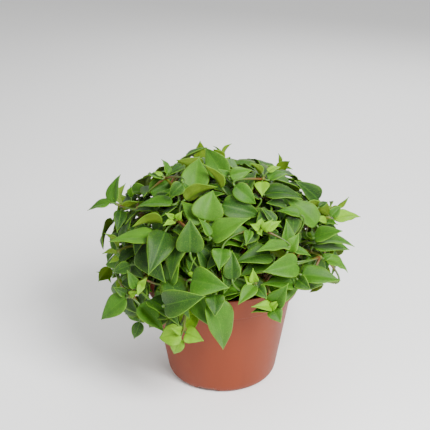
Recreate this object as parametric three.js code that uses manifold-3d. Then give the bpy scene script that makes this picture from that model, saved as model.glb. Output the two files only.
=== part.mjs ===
import * as THREE from "three";
import { mergeVertices } from "three/addons/utils/BufferGeometryUtils.js";
import Module from "manifold-3d";

const wasm = await Module();
wasm.setup();

// Sizes of the pot, in millimetres
const rimRadius = 60;
const potHeight = 88.7;
const collarHeight = 16.3;
const collarFootRadius = 57.5;
const wallTopRadius = 53.2;
const baseRadius = 41;
const heelRadius = 6.5;
const wallThickness = 1.2;
const floorThickness = 1.6;
const footRecess = 2.8;
const footRingInnerRadius = 31;
const padRadius = 9;
const drainHoleRadius = 2.6;
const drainHoleCircle = 20;
const drainHoleCount = 6;
const notchCount = 3;
const notchWidth = 17;
const notchBevel = 1.5;
const notchTurn = THREE.MathUtils.degToRad(-106.5);
const potSides = 36;

// Sizes of the soil
const soilHeight = 80;
const soilCrown = 3;
const soilSides = 18;
const fitGap = 0.3;
const stemHoleDepth = 11;

// Sizes of the stems and the leaves
const stemRadius = 1.35;
const stemTipRadius = 0.95;
const stemSides = 4;
const petioleRadius = 0.95;
const rootRadius = 0.6;
const bladeThickness = 1.5;
const seenFold = 0.5;
const bladeDroop = 0.22;
const midribArch = 0.1;
const clearance = 2.5;

// The mound of foliage: half widths and middle
const moundRadii = new THREE.Vector3(92, 85, 82);
const moundMiddle = new THREE.Vector3(0, 0, 95);

// The eye that the seen shoots and leaves were read from, in millimetres and pixels
const eye = new THREE.Vector3(-5.5, -685.7, 432.5);
const eyeTilt = THREE.MathUtils.degToRad(23.9);
const focalPixels = 1015.3;
const pictureMiddle = 215;
const sightAhead = new THREE.Vector3(0, Math.cos(eyeTilt), -Math.sin(eyeTilt));
const sightUp = new THREE.Vector3(0, Math.sin(eyeTilt), Math.cos(eyeTilt));

// Shoots that the eye meets: the pixel of each tip, how far out on the mound it stands, the pixels
// of each leaf's foot and point, and the leaf's width as seen, in millimetres
const seenShoots = [
  { tip: [118, 205], scale: 1, leaves: [
    { foot: [110, 203], point: [87, 211], wide: 6, look: "mid" },
    { foot: [115, 203], point: [121, 174], wide: 8, look: "mid" },
    { foot: [123, 205], point: [126, 183], wide: 7, look: "olive" },
    { foot: [118, 205], point: [117, 194], wide: 5, look: "lime" },
    { foot: [124, 210], point: [140, 202], wide: 6, look: "olive" },
    { foot: [121, 211], point: [117, 233], wide: 9, look: "dark" },
  ] },
  { tip: [264, 178], scale: 1, leaves: [
    { foot: [262, 173], point: [250, 163], wide: 5, look: "olive" },
    { foot: [265, 173], point: [265, 162], wide: 5, look: "lime" },
    { foot: [268, 172], point: [281, 167], wide: 4, look: "lime" },
    { foot: [269, 180], point: [288, 174], wide: 6, look: "mid" },
    { foot: [262, 182], point: [262, 197], wide: 10, look: "lime" },
  ] },
  { tip: [331, 218], scale: 1, leaves: [
    { foot: [334, 220], point: [361, 217], wide: 8, look: "lime" },
    { foot: [331, 216], point: [341, 206], wide: 7, look: "mid" },
    { foot: [331, 216], point: [329, 203], wide: 3, look: "dark" },
    { foot: [326, 221], point: [313, 219], wide: 5, look: "lime" },
    { foot: [326, 223], point: [338, 225], wide: 4, look: "mid" },
  ] },
  { tip: [262, 229], scale: 0.96, leaves: [
    { foot: [259, 228], point: [250, 224], wide: 5, look: "lime" },
    { foot: [260, 226], point: [262, 218], wide: 5, look: "lime" },
    { foot: [263, 230], point: [273, 219], wide: 6, look: "lime" },
    { foot: [266, 230], point: [281, 221], wide: 6, look: "lime" },
    { foot: [259, 231], point: [262, 236], wide: 4, look: "lime" },
  ] },
  { tip: [129, 298], scale: 1, leaves: [
    { foot: [126, 298], point: [101, 320], wide: 13, look: "mid" },
    { foot: [128, 303], point: [106, 322], wide: 6, look: "olive" },
    { foot: [126, 294], point: [113, 287], wide: 6, look: "dark" },
    { foot: [130, 295], point: [138, 291], wide: 5, look: "lime" },
  ] },
  { tip: [184, 331], scale: 0.97, hangs: true, leaves: [
    { foot: [186, 333], point: [204, 341], wide: 11, look: "lime" },
    { foot: [181, 333], point: [159, 338], wide: 14, look: "lime" },
    { foot: [180, 338], point: [174, 354], wide: 9, look: "lime" },
    { foot: [181, 331], point: [170, 328], wide: 6, look: "lime" },
    { foot: [186, 331], point: [192, 325], wide: 6, look: "lime" },
  ] },
  { tip: [141, 285], scale: 0.97, leaves: [
    { foot: [140, 286], point: [147, 278], wide: 5, look: "lime" },
    { foot: [142, 284], point: [137, 296], wide: 5, look: "lime" },
    { foot: [145, 286], point: [138, 270], wide: 4, look: "olive" },
    { foot: [136, 288], point: [127, 270], wide: 7, look: "mid" },
  ] },
  { tip: [117, 252], scale: 1, leaves: [
    { foot: [117, 254], point: [102, 254], wide: 4, look: "olive" },
    { foot: [118, 257], point: [109, 263], wide: 4, look: "olive" },
    { foot: [118, 247], point: [104, 233], wide: 5, look: "olive" },
  ] },
  { tip: [272, 308], scale: 0.92, hangs: true, leaves: [
    { foot: [271, 308], point: [251, 307], wide: 7, look: "lime" },
    { foot: [271, 309], point: [281, 300], wide: 5, look: "lime" },
    { foot: [273, 309], point: [281, 323], wide: 10, look: "mid" },
    { foot: [274, 303], point: [289, 283], wide: 12, look: "mid" },
    { foot: [270, 311], point: [251, 313], wide: 5, look: "dark" },
  ] },
  { tip: [176, 220], scale: 0.95, leaves: [
    { foot: [174, 218], point: [165, 213], wide: 4, look: "lime" },
    { foot: [177, 219], point: [182, 211], wide: 5, look: "lime" },
    { foot: [174, 222], point: [163, 226], wide: 4, look: "lime" },
  ] },
  { tip: [163, 177], scale: 1, leaves: [
    { foot: [162, 176], point: [153, 172], wide: 3, look: "lime" },
    { foot: [162, 179], point: [142, 179], wide: 3, look: "mid" },
    { foot: [167, 174], point: [161, 159], wide: 4, look: "mid" },
  ] },
  { tip: [322, 258], scale: 0.97, leaves: [
    { foot: [323, 258], point: [333, 254], wide: 5, look: "mid" },
    { foot: [326, 260], point: [348, 273], wide: 7, look: "pale" },
  ] },
  { tip: [256, 284], scale: 0.9, leaves: [
    { foot: [254, 282], point: [253, 268], wide: 6, look: "lime" },
    { foot: [253, 283], point: [244, 276], wide: 6, look: "lime" },
    { foot: [254, 286], point: [238, 305], wide: 9, look: "pale" },
    { foot: [258, 288], point: [267, 299], wide: 8, look: "dark" },
  ] },
];

// Single leaves that the eye meets, from the front of the mound to its back, large ones sooner
const seenLeaves = [
  { foot: [210, 300], point: [223, 350], wide: 17, look: "mid" },
  { foot: [183, 325], point: [203, 305], wide: 13, look: "lime" },
  { foot: [192, 280], point: [230, 288], wide: 18, look: "mid" },
  { foot: [205, 220], point: [213, 190], wide: 20, look: "pale" },
  { foot: [150, 300], point: [180, 327], wide: 12, look: "dark" },
  { foot: [140, 322], point: [134, 339], wide: 8, look: "dark" },
  { foot: [186, 280], point: [151, 305], wide: 18, look: "pale" },
  { foot: [215, 295], point: [215, 317], wide: 12, look: "dark" },
  { foot: [165, 305], point: [206, 296], wide: 17, look: "dark" },
  { foot: [188, 273], point: [198, 285], wide: 3, look: "lime" },
  { foot: [240, 292], point: [218, 302], wide: 4, look: "mid" },
  { foot: [194, 275], point: [213, 239], wide: 17, look: "mid" },
  { foot: [186, 272], point: [168, 250], wide: 7, look: "mid" },
  { foot: [222, 249], point: [219, 271], wide: 12, look: "mid" },
  { foot: [232, 279], point: [232, 250], wide: 11, look: "dark" },
  { foot: [212, 238], point: [251, 218], wide: 13, look: "pale" },
  { foot: [211, 239], point: [192, 229], wide: 5, look: "lime" },
  { foot: [209, 236], point: [198, 218], wide: 5, look: "mid" },
  { foot: [203, 222], point: [181, 201], wide: 12, look: "pale" },
  { foot: [205, 226], point: [233, 216], wide: 6, look: "olive" },
  { foot: [190, 252], point: [190, 218], wide: 17, look: "dark" },
  { foot: [185, 200], point: [218, 187], wide: 9, look: "olive" },
  { foot: [188, 194], point: [181, 180], wide: 5, look: "mid" },
  { foot: [193, 190], point: [199, 157], wide: 18, look: "pale" },
  { foot: [222, 188], point: [202, 163], wide: 6, look: "olive" },
  { foot: [229, 177], point: [218, 169], wide: 4, look: "mid" },
  { foot: [225, 178], point: [205, 147], wide: 15, look: "mid" },
  { foot: [230, 176], point: [252, 170], wide: 9, look: "pale" },
  { foot: [235, 186], point: [256, 204], wide: 11, look: "mid" },
  { foot: [222, 205], point: [263, 217], wide: 15, look: "dark" },
  { foot: [222, 185], point: [250, 185], wide: 7, look: "dark" },
  { foot: [202, 168], point: [176, 160], wide: 12, look: "olive" },
  { foot: [157, 239], point: [108, 242], wide: 10, look: "pale" },
  { foot: [163, 223], point: [132, 227], wide: 7, look: "olive" },
  { foot: [172, 205], point: [135, 208], wide: 7, look: "mid" },
  { foot: [137, 210], point: [159, 213], wide: 6, look: "dark" },
  { foot: [150, 192], point: [181, 177], wide: 13, look: "mid" },
  { foot: [130, 193], point: [153, 192], wide: 7, look: "mid" },
  { foot: [131, 197], point: [131, 185], wide: 4, look: "pale" },
  { foot: [182, 184], point: [169, 197], wide: 9, look: "dark" },
  { foot: [183, 166], point: [168, 176], wide: 6, look: "dark" },
  { foot: [165, 232], point: [148, 276], wide: 18, look: "dark" },
  { foot: [120, 261], point: [148, 244], wide: 8, look: "dark" },
  { foot: [161, 234], point: [147, 234], wide: 4, look: "dark" },
  { foot: [288, 251], point: [299, 233], wide: 9, look: "pale" },
  { foot: [287, 247], point: [286, 219], wide: 9, look: "mid" },
  { foot: [293, 250], point: [311, 256], wide: 5, look: "mid" },
  { foot: [313, 247], point: [350, 250], wide: 10, look: "mid" },
  { foot: [316, 243], point: [355, 247], wide: 7, look: "mid" },
  { foot: [288, 247], point: [256, 252], wide: 7, look: "pale" },
  { foot: [283, 243], point: [255, 243], wide: 6, look: "mid" },
  { foot: [290, 262], point: [238, 258], wide: 6, look: "olive" },
  { foot: [308, 256], point: [327, 271], wide: 10, look: "mid" },
  { foot: [294, 285], point: [260, 285], wide: 10, look: "mid" },
  { foot: [297, 264], point: [262, 272], wide: 15, look: "mid" },
  { foot: [249, 231], point: [246, 246], wide: 6, look: "mid" },
  { foot: [215, 246], point: [246, 249], wide: 5, look: "mid" },
  { foot: [302, 275], point: [341, 281], wide: 12, look: "mid" },
  { foot: [335, 283], point: [304, 285], wide: 4, look: "mid" },
  { foot: [298, 280], point: [311, 290], wide: 9, look: "dark" },
  { foot: [265, 195], point: [303, 200], wide: 9, look: "dark" },
  { foot: [318, 200], point: [294, 180], wide: 12, look: "dark" },
  { foot: [316, 225], point: [283, 197], wide: 13, look: "pale" },
  { foot: [328, 216], point: [297, 207], wide: 10, look: "olive" },
  { foot: [315, 238], point: [343, 231], wide: 9, look: "mid" },
  { foot: [300, 215], point: [277, 211], wide: 6, look: "mid" },
  { foot: [275, 222], point: [261, 208], wide: 6, look: "dark" },
  { foot: [319, 207], point: [328, 202], wide: 4, look: "dark" },
  { foot: [140, 305], point: [165, 333], wide: 13, look: "mid" },
  { foot: [133, 300], point: [153, 317], wide: 9, look: "mid" },
  { foot: [130, 265], point: [113, 272], wide: 8, look: "dark" },
  { foot: [120, 279], point: [117, 288], wide: 4, look: "olive" },
];

// Shoots that the eye doesn't meet: turn round the pot from +X, height angle, place on the mound
const hiddenShoots = [
  { turn: -92, rise: 12, scale: 0.78 },
  { turn: -118, rise: 38, scale: 0.76 },
  { turn: -70, rise: 50, scale: 0.76 },
  { turn: -48, rise: 24, scale: 0.78 },
  { turn: -140, rise: 6, scale: 0.8 },
  { turn: -22, rise: 8, scale: 0.9 },
  { turn: 12, rise: 22, scale: 1.02 },
  { turn: 38, rise: -8, scale: 1.02 },
  { turn: 52, rise: 38, scale: 1 },
  { turn: 78, rise: 4, scale: 1.02 },
  { turn: 104, rise: 40, scale: 1 },
  { turn: 118, rise: -12, scale: 1.02 },
  { turn: 146, rise: 18, scale: 1.02 },
  { turn: 170, rise: -14, scale: 1 },
  { turn: 90, rise: 66, scale: 0.92 },
];

// Rule for the leaves that fill the mound between the seen ones
const fillerSites = 1201;
const fillerStride = 457;
const fillerCap = 160;
const fillerLowest = -0.55;
const innerScale = 0.82;
const bareTurn = -1.1;
const bareSpread = 1.1;
const bareRise = 0.02;
const fillerLength = [27, 39];
const fillerWidthRatio = [0.56, 0.66];
const fillerArch = [0.06, 0.15];
const fillerFold = [0.3, 0.68];
const fillerSizes = [1, 0.86, 0.72];
const fillerScales = [0.95, 0.9, 0.98, 0.85, 0.8, 0.74, 0.68, 0.61];
const frontScales = [0.86, 0.8, 0.74, 0.68, 0.61, 0.54, 0.47];
const frontLimit = 0.3;
const fillerTurns = [0, 40, -40, 85, -85, 140];

// How far the foliage reaches from its middle in the picture, in pixels, at every fifteenth degree
// anticlockwise from the right
const reachMiddle = [215, 245];
const seenReach = [
  130, 134, 118, 104, 99, 87, 98, 101, 100, 97, 126, 124,
  113, 109, 128, 117, 114, 113, 106, 66, 84, 96, 99, 132,
];
const seenShifts = [0, 2, -2, 4, -4, 6, -6, 8, -8, 11, -11, 14, -14, 17, -17, 20, 24, 28];
const seenLeans = [1, 0, -1, 0.5, -0.5];
const seenGrowth = 1.12;
const widestLeaf = 22;
const steepestTurn = 1.25;
const leanLimit = 0.5;
const shootNudges = [0, -0.7, 0.7, -1.4, 1.4];
const tinyLeaf = 11;
const stemSways = [0, 0.12, -0.12, 0.24, -0.24, 0.36, -0.36];

// Even random draws from a seed, by a linear congruential generator
let drawState = 20731;
function draw(low, high) {
  drawState = (Math.imul(drawState, 1664525) + 1013904223) >>> 0;
  return low + (high - low) * drawState / 4294967296;
}

function mix(a, b, share) {
  return a.clone().lerp(b, share);
}

// Part of a vector that stands square to a direction, made unit length
function squareTo(vector, direction) {
  return vector.clone().addScaledVector(direction, -vector.dot(direction)).normalize();
}

// Sight line through a pixel: the eye plus this vector times the depth
function sightThrough([across, down]) {
  const sight = sightAhead.clone();
  sight.x += (across - pictureMiddle) / focalPixels;
  return sight.addScaledVector(sightUp, (pictureMiddle - down) / focalPixels);
}

function atDepth(pixel, depth) {
  return eye.clone().addScaledVector(sightThrough(pixel), depth);
}

function isWithinReach(point) {
  const ray = point.clone().sub(eye);
  const depth = ray.dot(sightAhead);
  const across = pictureMiddle + focalPixels * ray.x / depth - reachMiddle[0];
  const up = reachMiddle[1] - pictureMiddle + focalPixels * ray.dot(sightUp) / depth;
  const turn = (Math.atan2(up, across) / (2 * Math.PI) + 1) * seenReach.length;
  const near = seenReach[Math.floor(turn) % seenReach.length];
  const next = seenReach[(Math.floor(turn) + 1) % seenReach.length];
  return Math.hypot(across, up) < near + (next - near) * (turn % 1);
}

// Depth at which a sight line meets the mound grown by a scale, or passes it closest
function moundDepth(pixel, scale) {
  const start = eye.clone().sub(moundMiddle).divide(moundRadii);
  const along = sightThrough(pixel).divide(moundRadii);
  const square = along.lengthSq();
  const half = along.dot(start);
  const rest = half * half - square * (start.lengthSq() - scale * scale);
  return (-half - Math.sqrt(Math.max(rest, 0))) / square;
}

function moundPoint(direction, scale) {
  return direction.clone().multiply(moundRadii).multiplyScalar(scale).add(moundMiddle);
}

// Room already taken by stems, stalks and blades: each small cell whose middle lies within the
// clearance of one of their points holds its stem's number, or the shared mark between two stems
const cellSize = 0.75;
const cellCounts = [300, 300, 270];
const cellOrigin = [-112, -112, 0];
const sharedMark = 255;
const taken = new Uint8Array(cellCounts[0] * cellCounts[1] * cellCounts[2]);

function cellIndex(x, y, z) {
  return (x * cellCounts[1] + y) * cellCounts[2] + z;
}

function cellOf(point) {
  return point.toArray().map((value, axis) => Math.floor((value - cellOrigin[axis]) / cellSize));
}

function take(points, owner) {
  const reach = Math.ceil(clearance / cellSize);
  for (const point of points) {
    const [column, row, layer] = cellOf(point);
    for (let x = column - reach; x <= column + reach; x += 1) {
      const dx = (x + 0.5) * cellSize + cellOrigin[0] - point.x;
      for (let y = row - reach; y <= row + reach; y += 1) {
        const dy = (y + 0.5) * cellSize + cellOrigin[1] - point.y;
        for (let z = layer - reach; z <= layer + reach; z += 1) {
          const dz = (z + 0.5) * cellSize + cellOrigin[2] - point.z;
          if (dx * dx + dy * dy + dz * dz < clearance * clearance) {
            const cell = cellIndex(x, y, z);
            taken[cell] = taken[cell] === 0 || taken[cell] === owner ? owner : sharedMark;
          }
        }
      }
    }
  }
}

function meetsTaken(point, own) {
  const mark = taken[cellIndex(...cellOf(point))];
  return mark !== 0 && mark !== own;
}

// The pot and the soil with their clearance
function meetsPot(point) {
  const radius = Math.hypot(point.x, point.y);
  const rimZone = radius < rimRadius + 2.2 && point.z < potHeight + 2.2;
  const aboveSoil = radius < collarFootRadius - 4.5 && point.z > soilHeight + soilCrown + 2;
  return rimZone && !aboveSoil;
}

// Clear of everything, or of everything but one's own stem where its number is given
function isClear(points, own) {
  return points.every((point) => !meetsPot(point) && !meetsTaken(point, own));
}

// A smooth line through Bezier's four guide points
function bezier(guides, share) {
  const [a, b, c, d] = guides;
  const left = 1 - share;
  return a.clone().multiplyScalar(left ** 3)
    .addScaledVector(b, 3 * left * left * share)
    .addScaledVector(c, 3 * left * share * share)
    .addScaledVector(d, share ** 3);
}

// Stems bend in a few straight steps, and everything on them is set out along those steps
const stemSteps = 7;
function alongSteps(guides, spacing) {
  const corners = Array.from({ length: stemSteps + 1 }, (_, step) => bezier(guides, step / stemSteps));
  const points = [];
  for (let step = 0; step < stemSteps; step += 1) {
    const count = Math.ceil(corners[step].distanceTo(corners[step + 1]) / spacing);
    for (let part = 0; part < count; part += 1) {
      points.push(mix(corners[step], corners[step + 1], part / count));
    }
  }
  points.push(corners[stemSteps]);
  return { corners, points };
}

function alongBezier(guides, spacing) {
  const chord = guides[0].distanceTo(guides[1]) + guides[1].distanceTo(guides[2])
    + guides[2].distanceTo(guides[3]);
  const count = Math.max(2, Math.ceil(chord / spacing));
  return Array.from({ length: count + 1 }, (_, index) => bezier(guides, index / count));
}

// Stem: it leaves the soil upright, arches over inside the mound and ends at its shoot
function stemGuides(target, hangs, sway) {
  const spread = Math.hypot(target.x, target.y);
  const reach = Math.min(0.42 * spread, 38);
  const heading = Math.atan2(target.y, target.x) + sway;
  const root = new THREE.Vector3(Math.cos(heading) * reach, Math.sin(heading) * reach, soilHeight + 2);
  const rise = Math.max(18, 0.45 * (target.z - root.z));
  const lift = hangs ? 34 : Math.max(10, 0.35 * (spread - (target.z - root.z)));
  const over = mix(root, target, hangs ? 0.85 : 0.62);
  over.z = Math.max(over.z, root.z) * 0.5 + Math.max(target.z, root.z) * 0.5 + lift;
  return [root, root.clone().setZ(root.z + rise), over, target];
}

const stems = [];
function growStem(target, hangs) {
  for (const sway of stemSways) {
    const guides = stemGuides(target, hangs, sway);
    const { corners, points } = alongSteps(guides, 2);
    const open = points.filter((point) => point.z > potHeight || Math.hypot(point.x, point.y) > 50);
    if (isClear(open)) {
      const stem = { number: stems.length + 1, corners, line: points, tip: target, leaves: [] };
      take(points, stem.number);
      stems.push(stem);
      return stem;
    }
  }
  return null;
}

// Leaf blade: foot, point, normal of its top, length and width. The midrib is a Bezier arch; a
// section rises from it as a shallow V whose margins turn down again
function makeBlade(foot, point, normal, width, arch, fold, look) {
  const axis = point.clone().sub(foot);
  const length = axis.length();
  axis.normalize();
  const top = squareTo(normal, axis);
  const crown = mix(foot, point, 0.45).addScaledVector(top, 2 * arch * length);
  const side = axis.clone().cross(top).normalize();
  return { foot, point, axis, top, side, crown, length, width, fold, look };
}

// Ovate outline with a broad base and a drawn-out point, and what it comes to where it is widest
const widestOutline = 0.3634;
function halfWidth(blade, share) {
  const outline = share ** 0.5 * (1 - share) ** 1.15;
  return 0.5 * blade.width * outline / widestOutline;
}

function midrib(blade, share) {
  const left = 1 - share;
  return blade.foot.clone().multiplyScalar(left * left)
    .addScaledVector(blade.crown, 2 * left * share)
    .addScaledVector(blade.point, share * share);
}

function bladeTop(blade, share) {
  const run = blade.crown.clone().sub(blade.foot).multiplyScalar(1 - share)
    .addScaledVector(blade.point.clone().sub(blade.crown), share).normalize();
  return blade.side.clone().cross(run).normalize();
}

function bladePoint(blade, share, across) {
  const half = halfWidth(blade, share);
  const height = half * (blade.fold * Math.abs(across) - bladeDroop * across * across);
  return midrib(blade, share)
    .addScaledVector(blade.side, half * across)
    .addScaledVector(bladeTop(blade, share), height);
}

function bladeSpots(blade, from, to) {
  const steps = Math.max(3, Math.ceil((to - from) * blade.length / 2.3));
  const sides = Math.max(2, Math.ceil(blade.width / 2 / 2.3));
  const spots = [];
  for (let step = 0; step <= steps; step += 1) {
    const share = Math.min(from + (to - from) * step / steps, 1);
    for (let row = -sides; row <= sides; row += 1) {
      spots.push(bladePoint(blade, share, row / sides));
    }
  }
  return spots;
}

// Stalk from a place on a stem to a blade's foot, which it meets in line with the midrib
function stalkGuides(root, blade) {
  const span = root.distanceTo(blade.foot);
  const knee = blade.foot.clone().addScaledVector(blade.axis, -0.4 * span);
  return [root, mix(root, knee, 0.6), mix(knee, blade.foot, 0.4), blade.foot];
}

const longestStalk = 31;
const stalkRootZone = 4.4;
const stalkFromSoil = 6;
const rootSink = 0.15;
function bestJoint(stem, blade) {
  let best = null;
  for (const spot of stem.line.slice(0, -1)) {
    const span = spot.distanceTo(blade.foot);
    if (span < longestStalk && span > 2.6 && spot.z > soilHeight + stalkFromSoil) {
      const inLine = blade.foot.clone().sub(spot).dot(blade.axis) / span;
      const cost = span * (1.5 - inLine);
      if (!best || cost < best.cost) {
        best = { stem, spot, cost };
      }
    }
  }
  return best;
}

function joinBlade(blade) {
  const joints = stems.map((stem) => bestJoint(stem, blade)).filter((joint) => joint);
  joints.sort((a, b) => a.cost - b.cost);
  for (const { stem, spot } of joints.slice(0, 6)) {
    const stalk = alongBezier(stalkGuides(spot, blade), 2);
    const far = stalk.filter((point) => point.distanceTo(spot) > stalkRootZone);
    if (isClear(far) && isClear(stalk, stem.number)) {
      return { stem, root: spot, stalk };
    }
  }
  return null;
}

// A stalk starts a little past the middle of its stem, so no two start at one point
function addLeaf(stem, blade, joint, stalk) {
  take(bladeSpots(blade, 0.04, 1), stem.number);
  take(stalk, stem.number);
  stem.leaves.push({ blade, root: joint.clone().addScaledVector(blade.axis, -rootSink) });
}

// A seen leaf's blade: its picture gives foot and point, its narrowing gives the turn of its face
function seenBlade(seen, footDepth, pointDepth) {
  const foot = atDepth(seen.foot, footDepth);
  const point = atDepth(seen.point, pointDepth);
  const axis = point.clone().sub(foot);
  const length = axis.length();
  axis.normalize();
  const seenWidth = seen.wide * seenGrowth;
  const width = Math.max(seenWidth, Math.min(0.56 * length, widestLeaf));
  const turn = Math.min(Math.acos(seenWidth / width), steepestTurn);
  const toEye = squareTo(eye.clone().sub(foot), axis);
  const edgeOn = axis.clone().cross(toEye);
  edgeOn.multiplyScalar(edgeOn.z < 0 ? -1 : 1);
  const face = seen.look === "olive" ? -1 : 1;
  const normal = toEye.multiplyScalar(face * Math.cos(turn)).addScaledVector(edgeOn, Math.sin(turn));
  return makeBlade(foot, point, normal, width, midribArch, seenFold, seen.look);
}

function pictureLength(seen, depth) {
  return Math.hypot(seen.foot[0] - seen.point[0], seen.foot[1] - seen.point[1]) * depth / focalPixels;
}

function placeSeenLeaf(seen) {
  for (const shift of seenShifts) {
    const footDepth = moundDepth(seen.foot, 0.93) + shift;
    const limit = leanLimit * pictureLength(seen, footDepth);
    const natural = THREE.MathUtils.clamp(moundDepth(seen.point, 1) + shift - footDepth, -limit, limit);
    for (const share of seenLeans) {
      const lean = share === 1 ? natural : share * limit;
      const blade = seenBlade(seen, footDepth, footDepth + lean);
      const joint = isClear(bladeSpots(blade, 0.08, 1)) && joinBlade(blade);
      if (joint) {
        addLeaf(joint.stem, blade, joint.root, joint.stalk);
        return true;
      }
    }
  }
  return false;
}

// A shoot's leaves stand close round its tip, so their lower parts may touch their own stem
function isShootLeafClear(stem, blade, joint) {
  const base = blade.length < tinyLeaf ? 0.6 : 0.45;
  return isClear(bladeSpots(blade, base, 1)) && isClear(bladeSpots(blade, 0, base), stem.number)
    && isClear([mix(joint, blade.foot, 0.5)], stem.number);
}

function placeShootLeaf(stem, tip, seen) {
  const tipDepth = tip.clone().sub(eye).dot(sightAhead);
  const limit = leanLimit * pictureLength(seen, tipDepth);
  const full = moundDepth(seen.point, 1.04) - tipDepth;
  const lean = THREE.MathUtils.clamp(full, -limit, limit);
  for (const nudge of shootNudges) {
    const blade = seenBlade(seen, tipDepth, tipDepth + lean + nudge * limit);
    const joint = stem.line.slice(0, -1).reduce((best, spot) => (
      spot.distanceTo(blade.foot) < best.distanceTo(blade.foot) ? spot : best));
    if (isShootLeafClear(stem, blade, joint)) {
      addLeaf(stem, blade, joint, []);
      return true;
    }
  }
  return false;
}

// Young leaves round the tip of a hidden shoot, in crossed pairs
function growWhorl(stem) {
  const tip = stem.tip;
  const run = tip.clone().sub(stem.line[stem.line.length - 4]).normalize();
  const across = squareTo(new THREE.Vector3(draw(-1, 1), draw(-1, 1), draw(-1, 1)), run);
  const square = run.clone().cross(across);
  const pairs = [
    { back: 5, open: 1.25, length: draw(15, 20) },
    { back: 0.5, open: 0.75, length: draw(9, 13) },
  ];
  pairs.forEach((pair, pairIndex) => {
    for (const facing of [1, -1]) {
      const outward = (pairIndex === 0 ? across : square).clone().multiplyScalar(facing);
      const axis = run.clone().multiplyScalar(Math.cos(pair.open))
        .addScaledVector(outward, Math.sin(pair.open));
      const root = tip.clone().addScaledVector(run, -pair.back);
      const foot = root.clone().addScaledVector(axis, 1.8);
      const point = foot.clone().addScaledVector(axis, pair.length);
      const normal = run.clone().multiplyScalar(Math.sin(pair.open))
        .addScaledVector(outward, -Math.cos(pair.open));
      const blade = makeBlade(
        foot, point, normal, 0.56 * pair.length, midribArch, seenFold, "lime");
      if (isShootLeafClear(stem, blade, root)) {
        addLeaf(stem, blade, root, []);
      }
    }
  });
}

// Filler leaves lie on the mound like shingles, each at a site of a golden-angle spiral
function fillerBlade(direction, facts, attempt) {
  const outward = direction.clone().divide(moundRadii).normalize();
  const downhill = squareTo(new THREE.Vector3(direction.x * 0.2, direction.y * 0.2, -1), outward);
  const heading = facts.turn + THREE.MathUtils.degToRad(attempt.turn);
  const axis = downhill.clone().applyAxisAngle(outward, heading)
    .multiplyScalar(Math.cos(facts.lean)).addScaledVector(outward, Math.sin(facts.lean));
  const length = facts.length * attempt.size;
  const middle = moundPoint(direction, attempt.scale);
  const foot = middle.clone().addScaledVector(axis, -0.5 * length);
  const point = middle.clone().addScaledVector(axis, 0.5 * length);
  const normal = squareTo(outward.clone().setZ(outward.z + 0.7), axis)
    .applyAxisAngle(axis, facts.roll);
  const blade = makeBlade(
    foot, point, normal, facts.ratio * length, facts.arch, facts.fold, facts.look);
  return Object.assign(blade, { inner: attempt.scale < innerScale });
}

// How low the foliage hangs round the pot: it leaves the wall bare at the front right
function lowestRise(direction) {
  const turn = Math.atan2(direction.y, direction.x);
  const bare = Math.max(0, 1 - Math.abs(turn - bareTurn) / bareSpread);
  return fillerLowest + (bareRise - fillerLowest) * Math.min(1, 1.6 * bare);
}

// The front of the mound is filled first, and there the fillers stay behind the seen leaves
function isFront(direction) {
  return direction.dot(sightAhead) < -frontLimit;
}

function bladeEnds(blade) {
  return [blade.foot, blade.point, bladePoint(blade, 0.4, -1), bladePoint(blade, 0.4, 1)];
}

function placeFiller(direction, front) {
  if (direction.z < lowestRise(direction)) {
    return false;
  }
  const facts = {
    turn: draw(-1.3, 1.3),
    lean: draw(0.02, 0.45),
    length: draw(...fillerLength),
    ratio: draw(...fillerWidthRatio),
    roll: draw(-0.4, 0.4),
    arch: draw(...fillerArch),
    fold: draw(...fillerFold),
    look: draw(0, 1) < 0.4 ? "dark" : "mid",
  };
  for (const size of fillerSizes) {
    for (const scale of front ? frontScales : fillerScales) {
      for (const turn of fillerTurns) {
        const blade = fillerBlade(direction, facts, { size, scale, turn });
        const joint = bladeEnds(blade).every(isWithinReach) && isClear(bladeSpots(blade, 0.08, 1))
          && joinBlade(blade);
        if (joint) {
          addLeaf(joint.stem, blade, joint.root, joint.stalk);
          return true;
        }
      }
    }
  }
  return false;
}

const shootStems = seenShoots.map((shoot) => (
  growStem(atDepth(shoot.tip, moundDepth(shoot.tip, shoot.scale)), shoot.hangs)));
const whorlStems = hiddenShoots.map(({ turn, rise, scale }) => {
  const round = THREE.MathUtils.degToRad(turn);
  const high = THREE.MathUtils.degToRad(rise);
  const direction = new THREE.Vector3(
    Math.cos(round) * Math.cos(high), Math.sin(round) * Math.cos(high), Math.sin(high));
  return growStem(moundPoint(direction, scale), false);
});
seenShoots.forEach((shoot, index) => {
  const stem = shootStems[index];
  for (const seen of stem ? shoot.leaves : []) {
    placeShootLeaf(stem, stem.tip, seen);
  }
});
whorlStems.forEach((stem, index) => {
  if (stem && hiddenShoots[index].scale > 0.9) {
    growWhorl(stem);
  }
});
seenLeaves.forEach(placeSeenLeaf);
const goldenAngle = Math.PI * (3 - Math.sqrt(5));
const fillerDirections = Array.from({ length: fillerSites }, (_, turn) => {
  const site = turn * fillerStride % fillerSites;
  const height = 1 - (1 - fillerLowest) * (site + 0.5) / fillerSites;
  const ring = Math.sqrt(1 - height * height);
  return new THREE.Vector3(
    ring * Math.cos(site * goldenAngle), ring * Math.sin(site * goldenAngle), height);
});
let fillers = 0;
for (const front of [true, false]) {
  for (const direction of fillerDirections.filter((site) => isFront(site) === front)) {
    fillers += fillers < fillerCap && placeFiller(direction, front) ? 1 : 0;
  }
}

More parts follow.
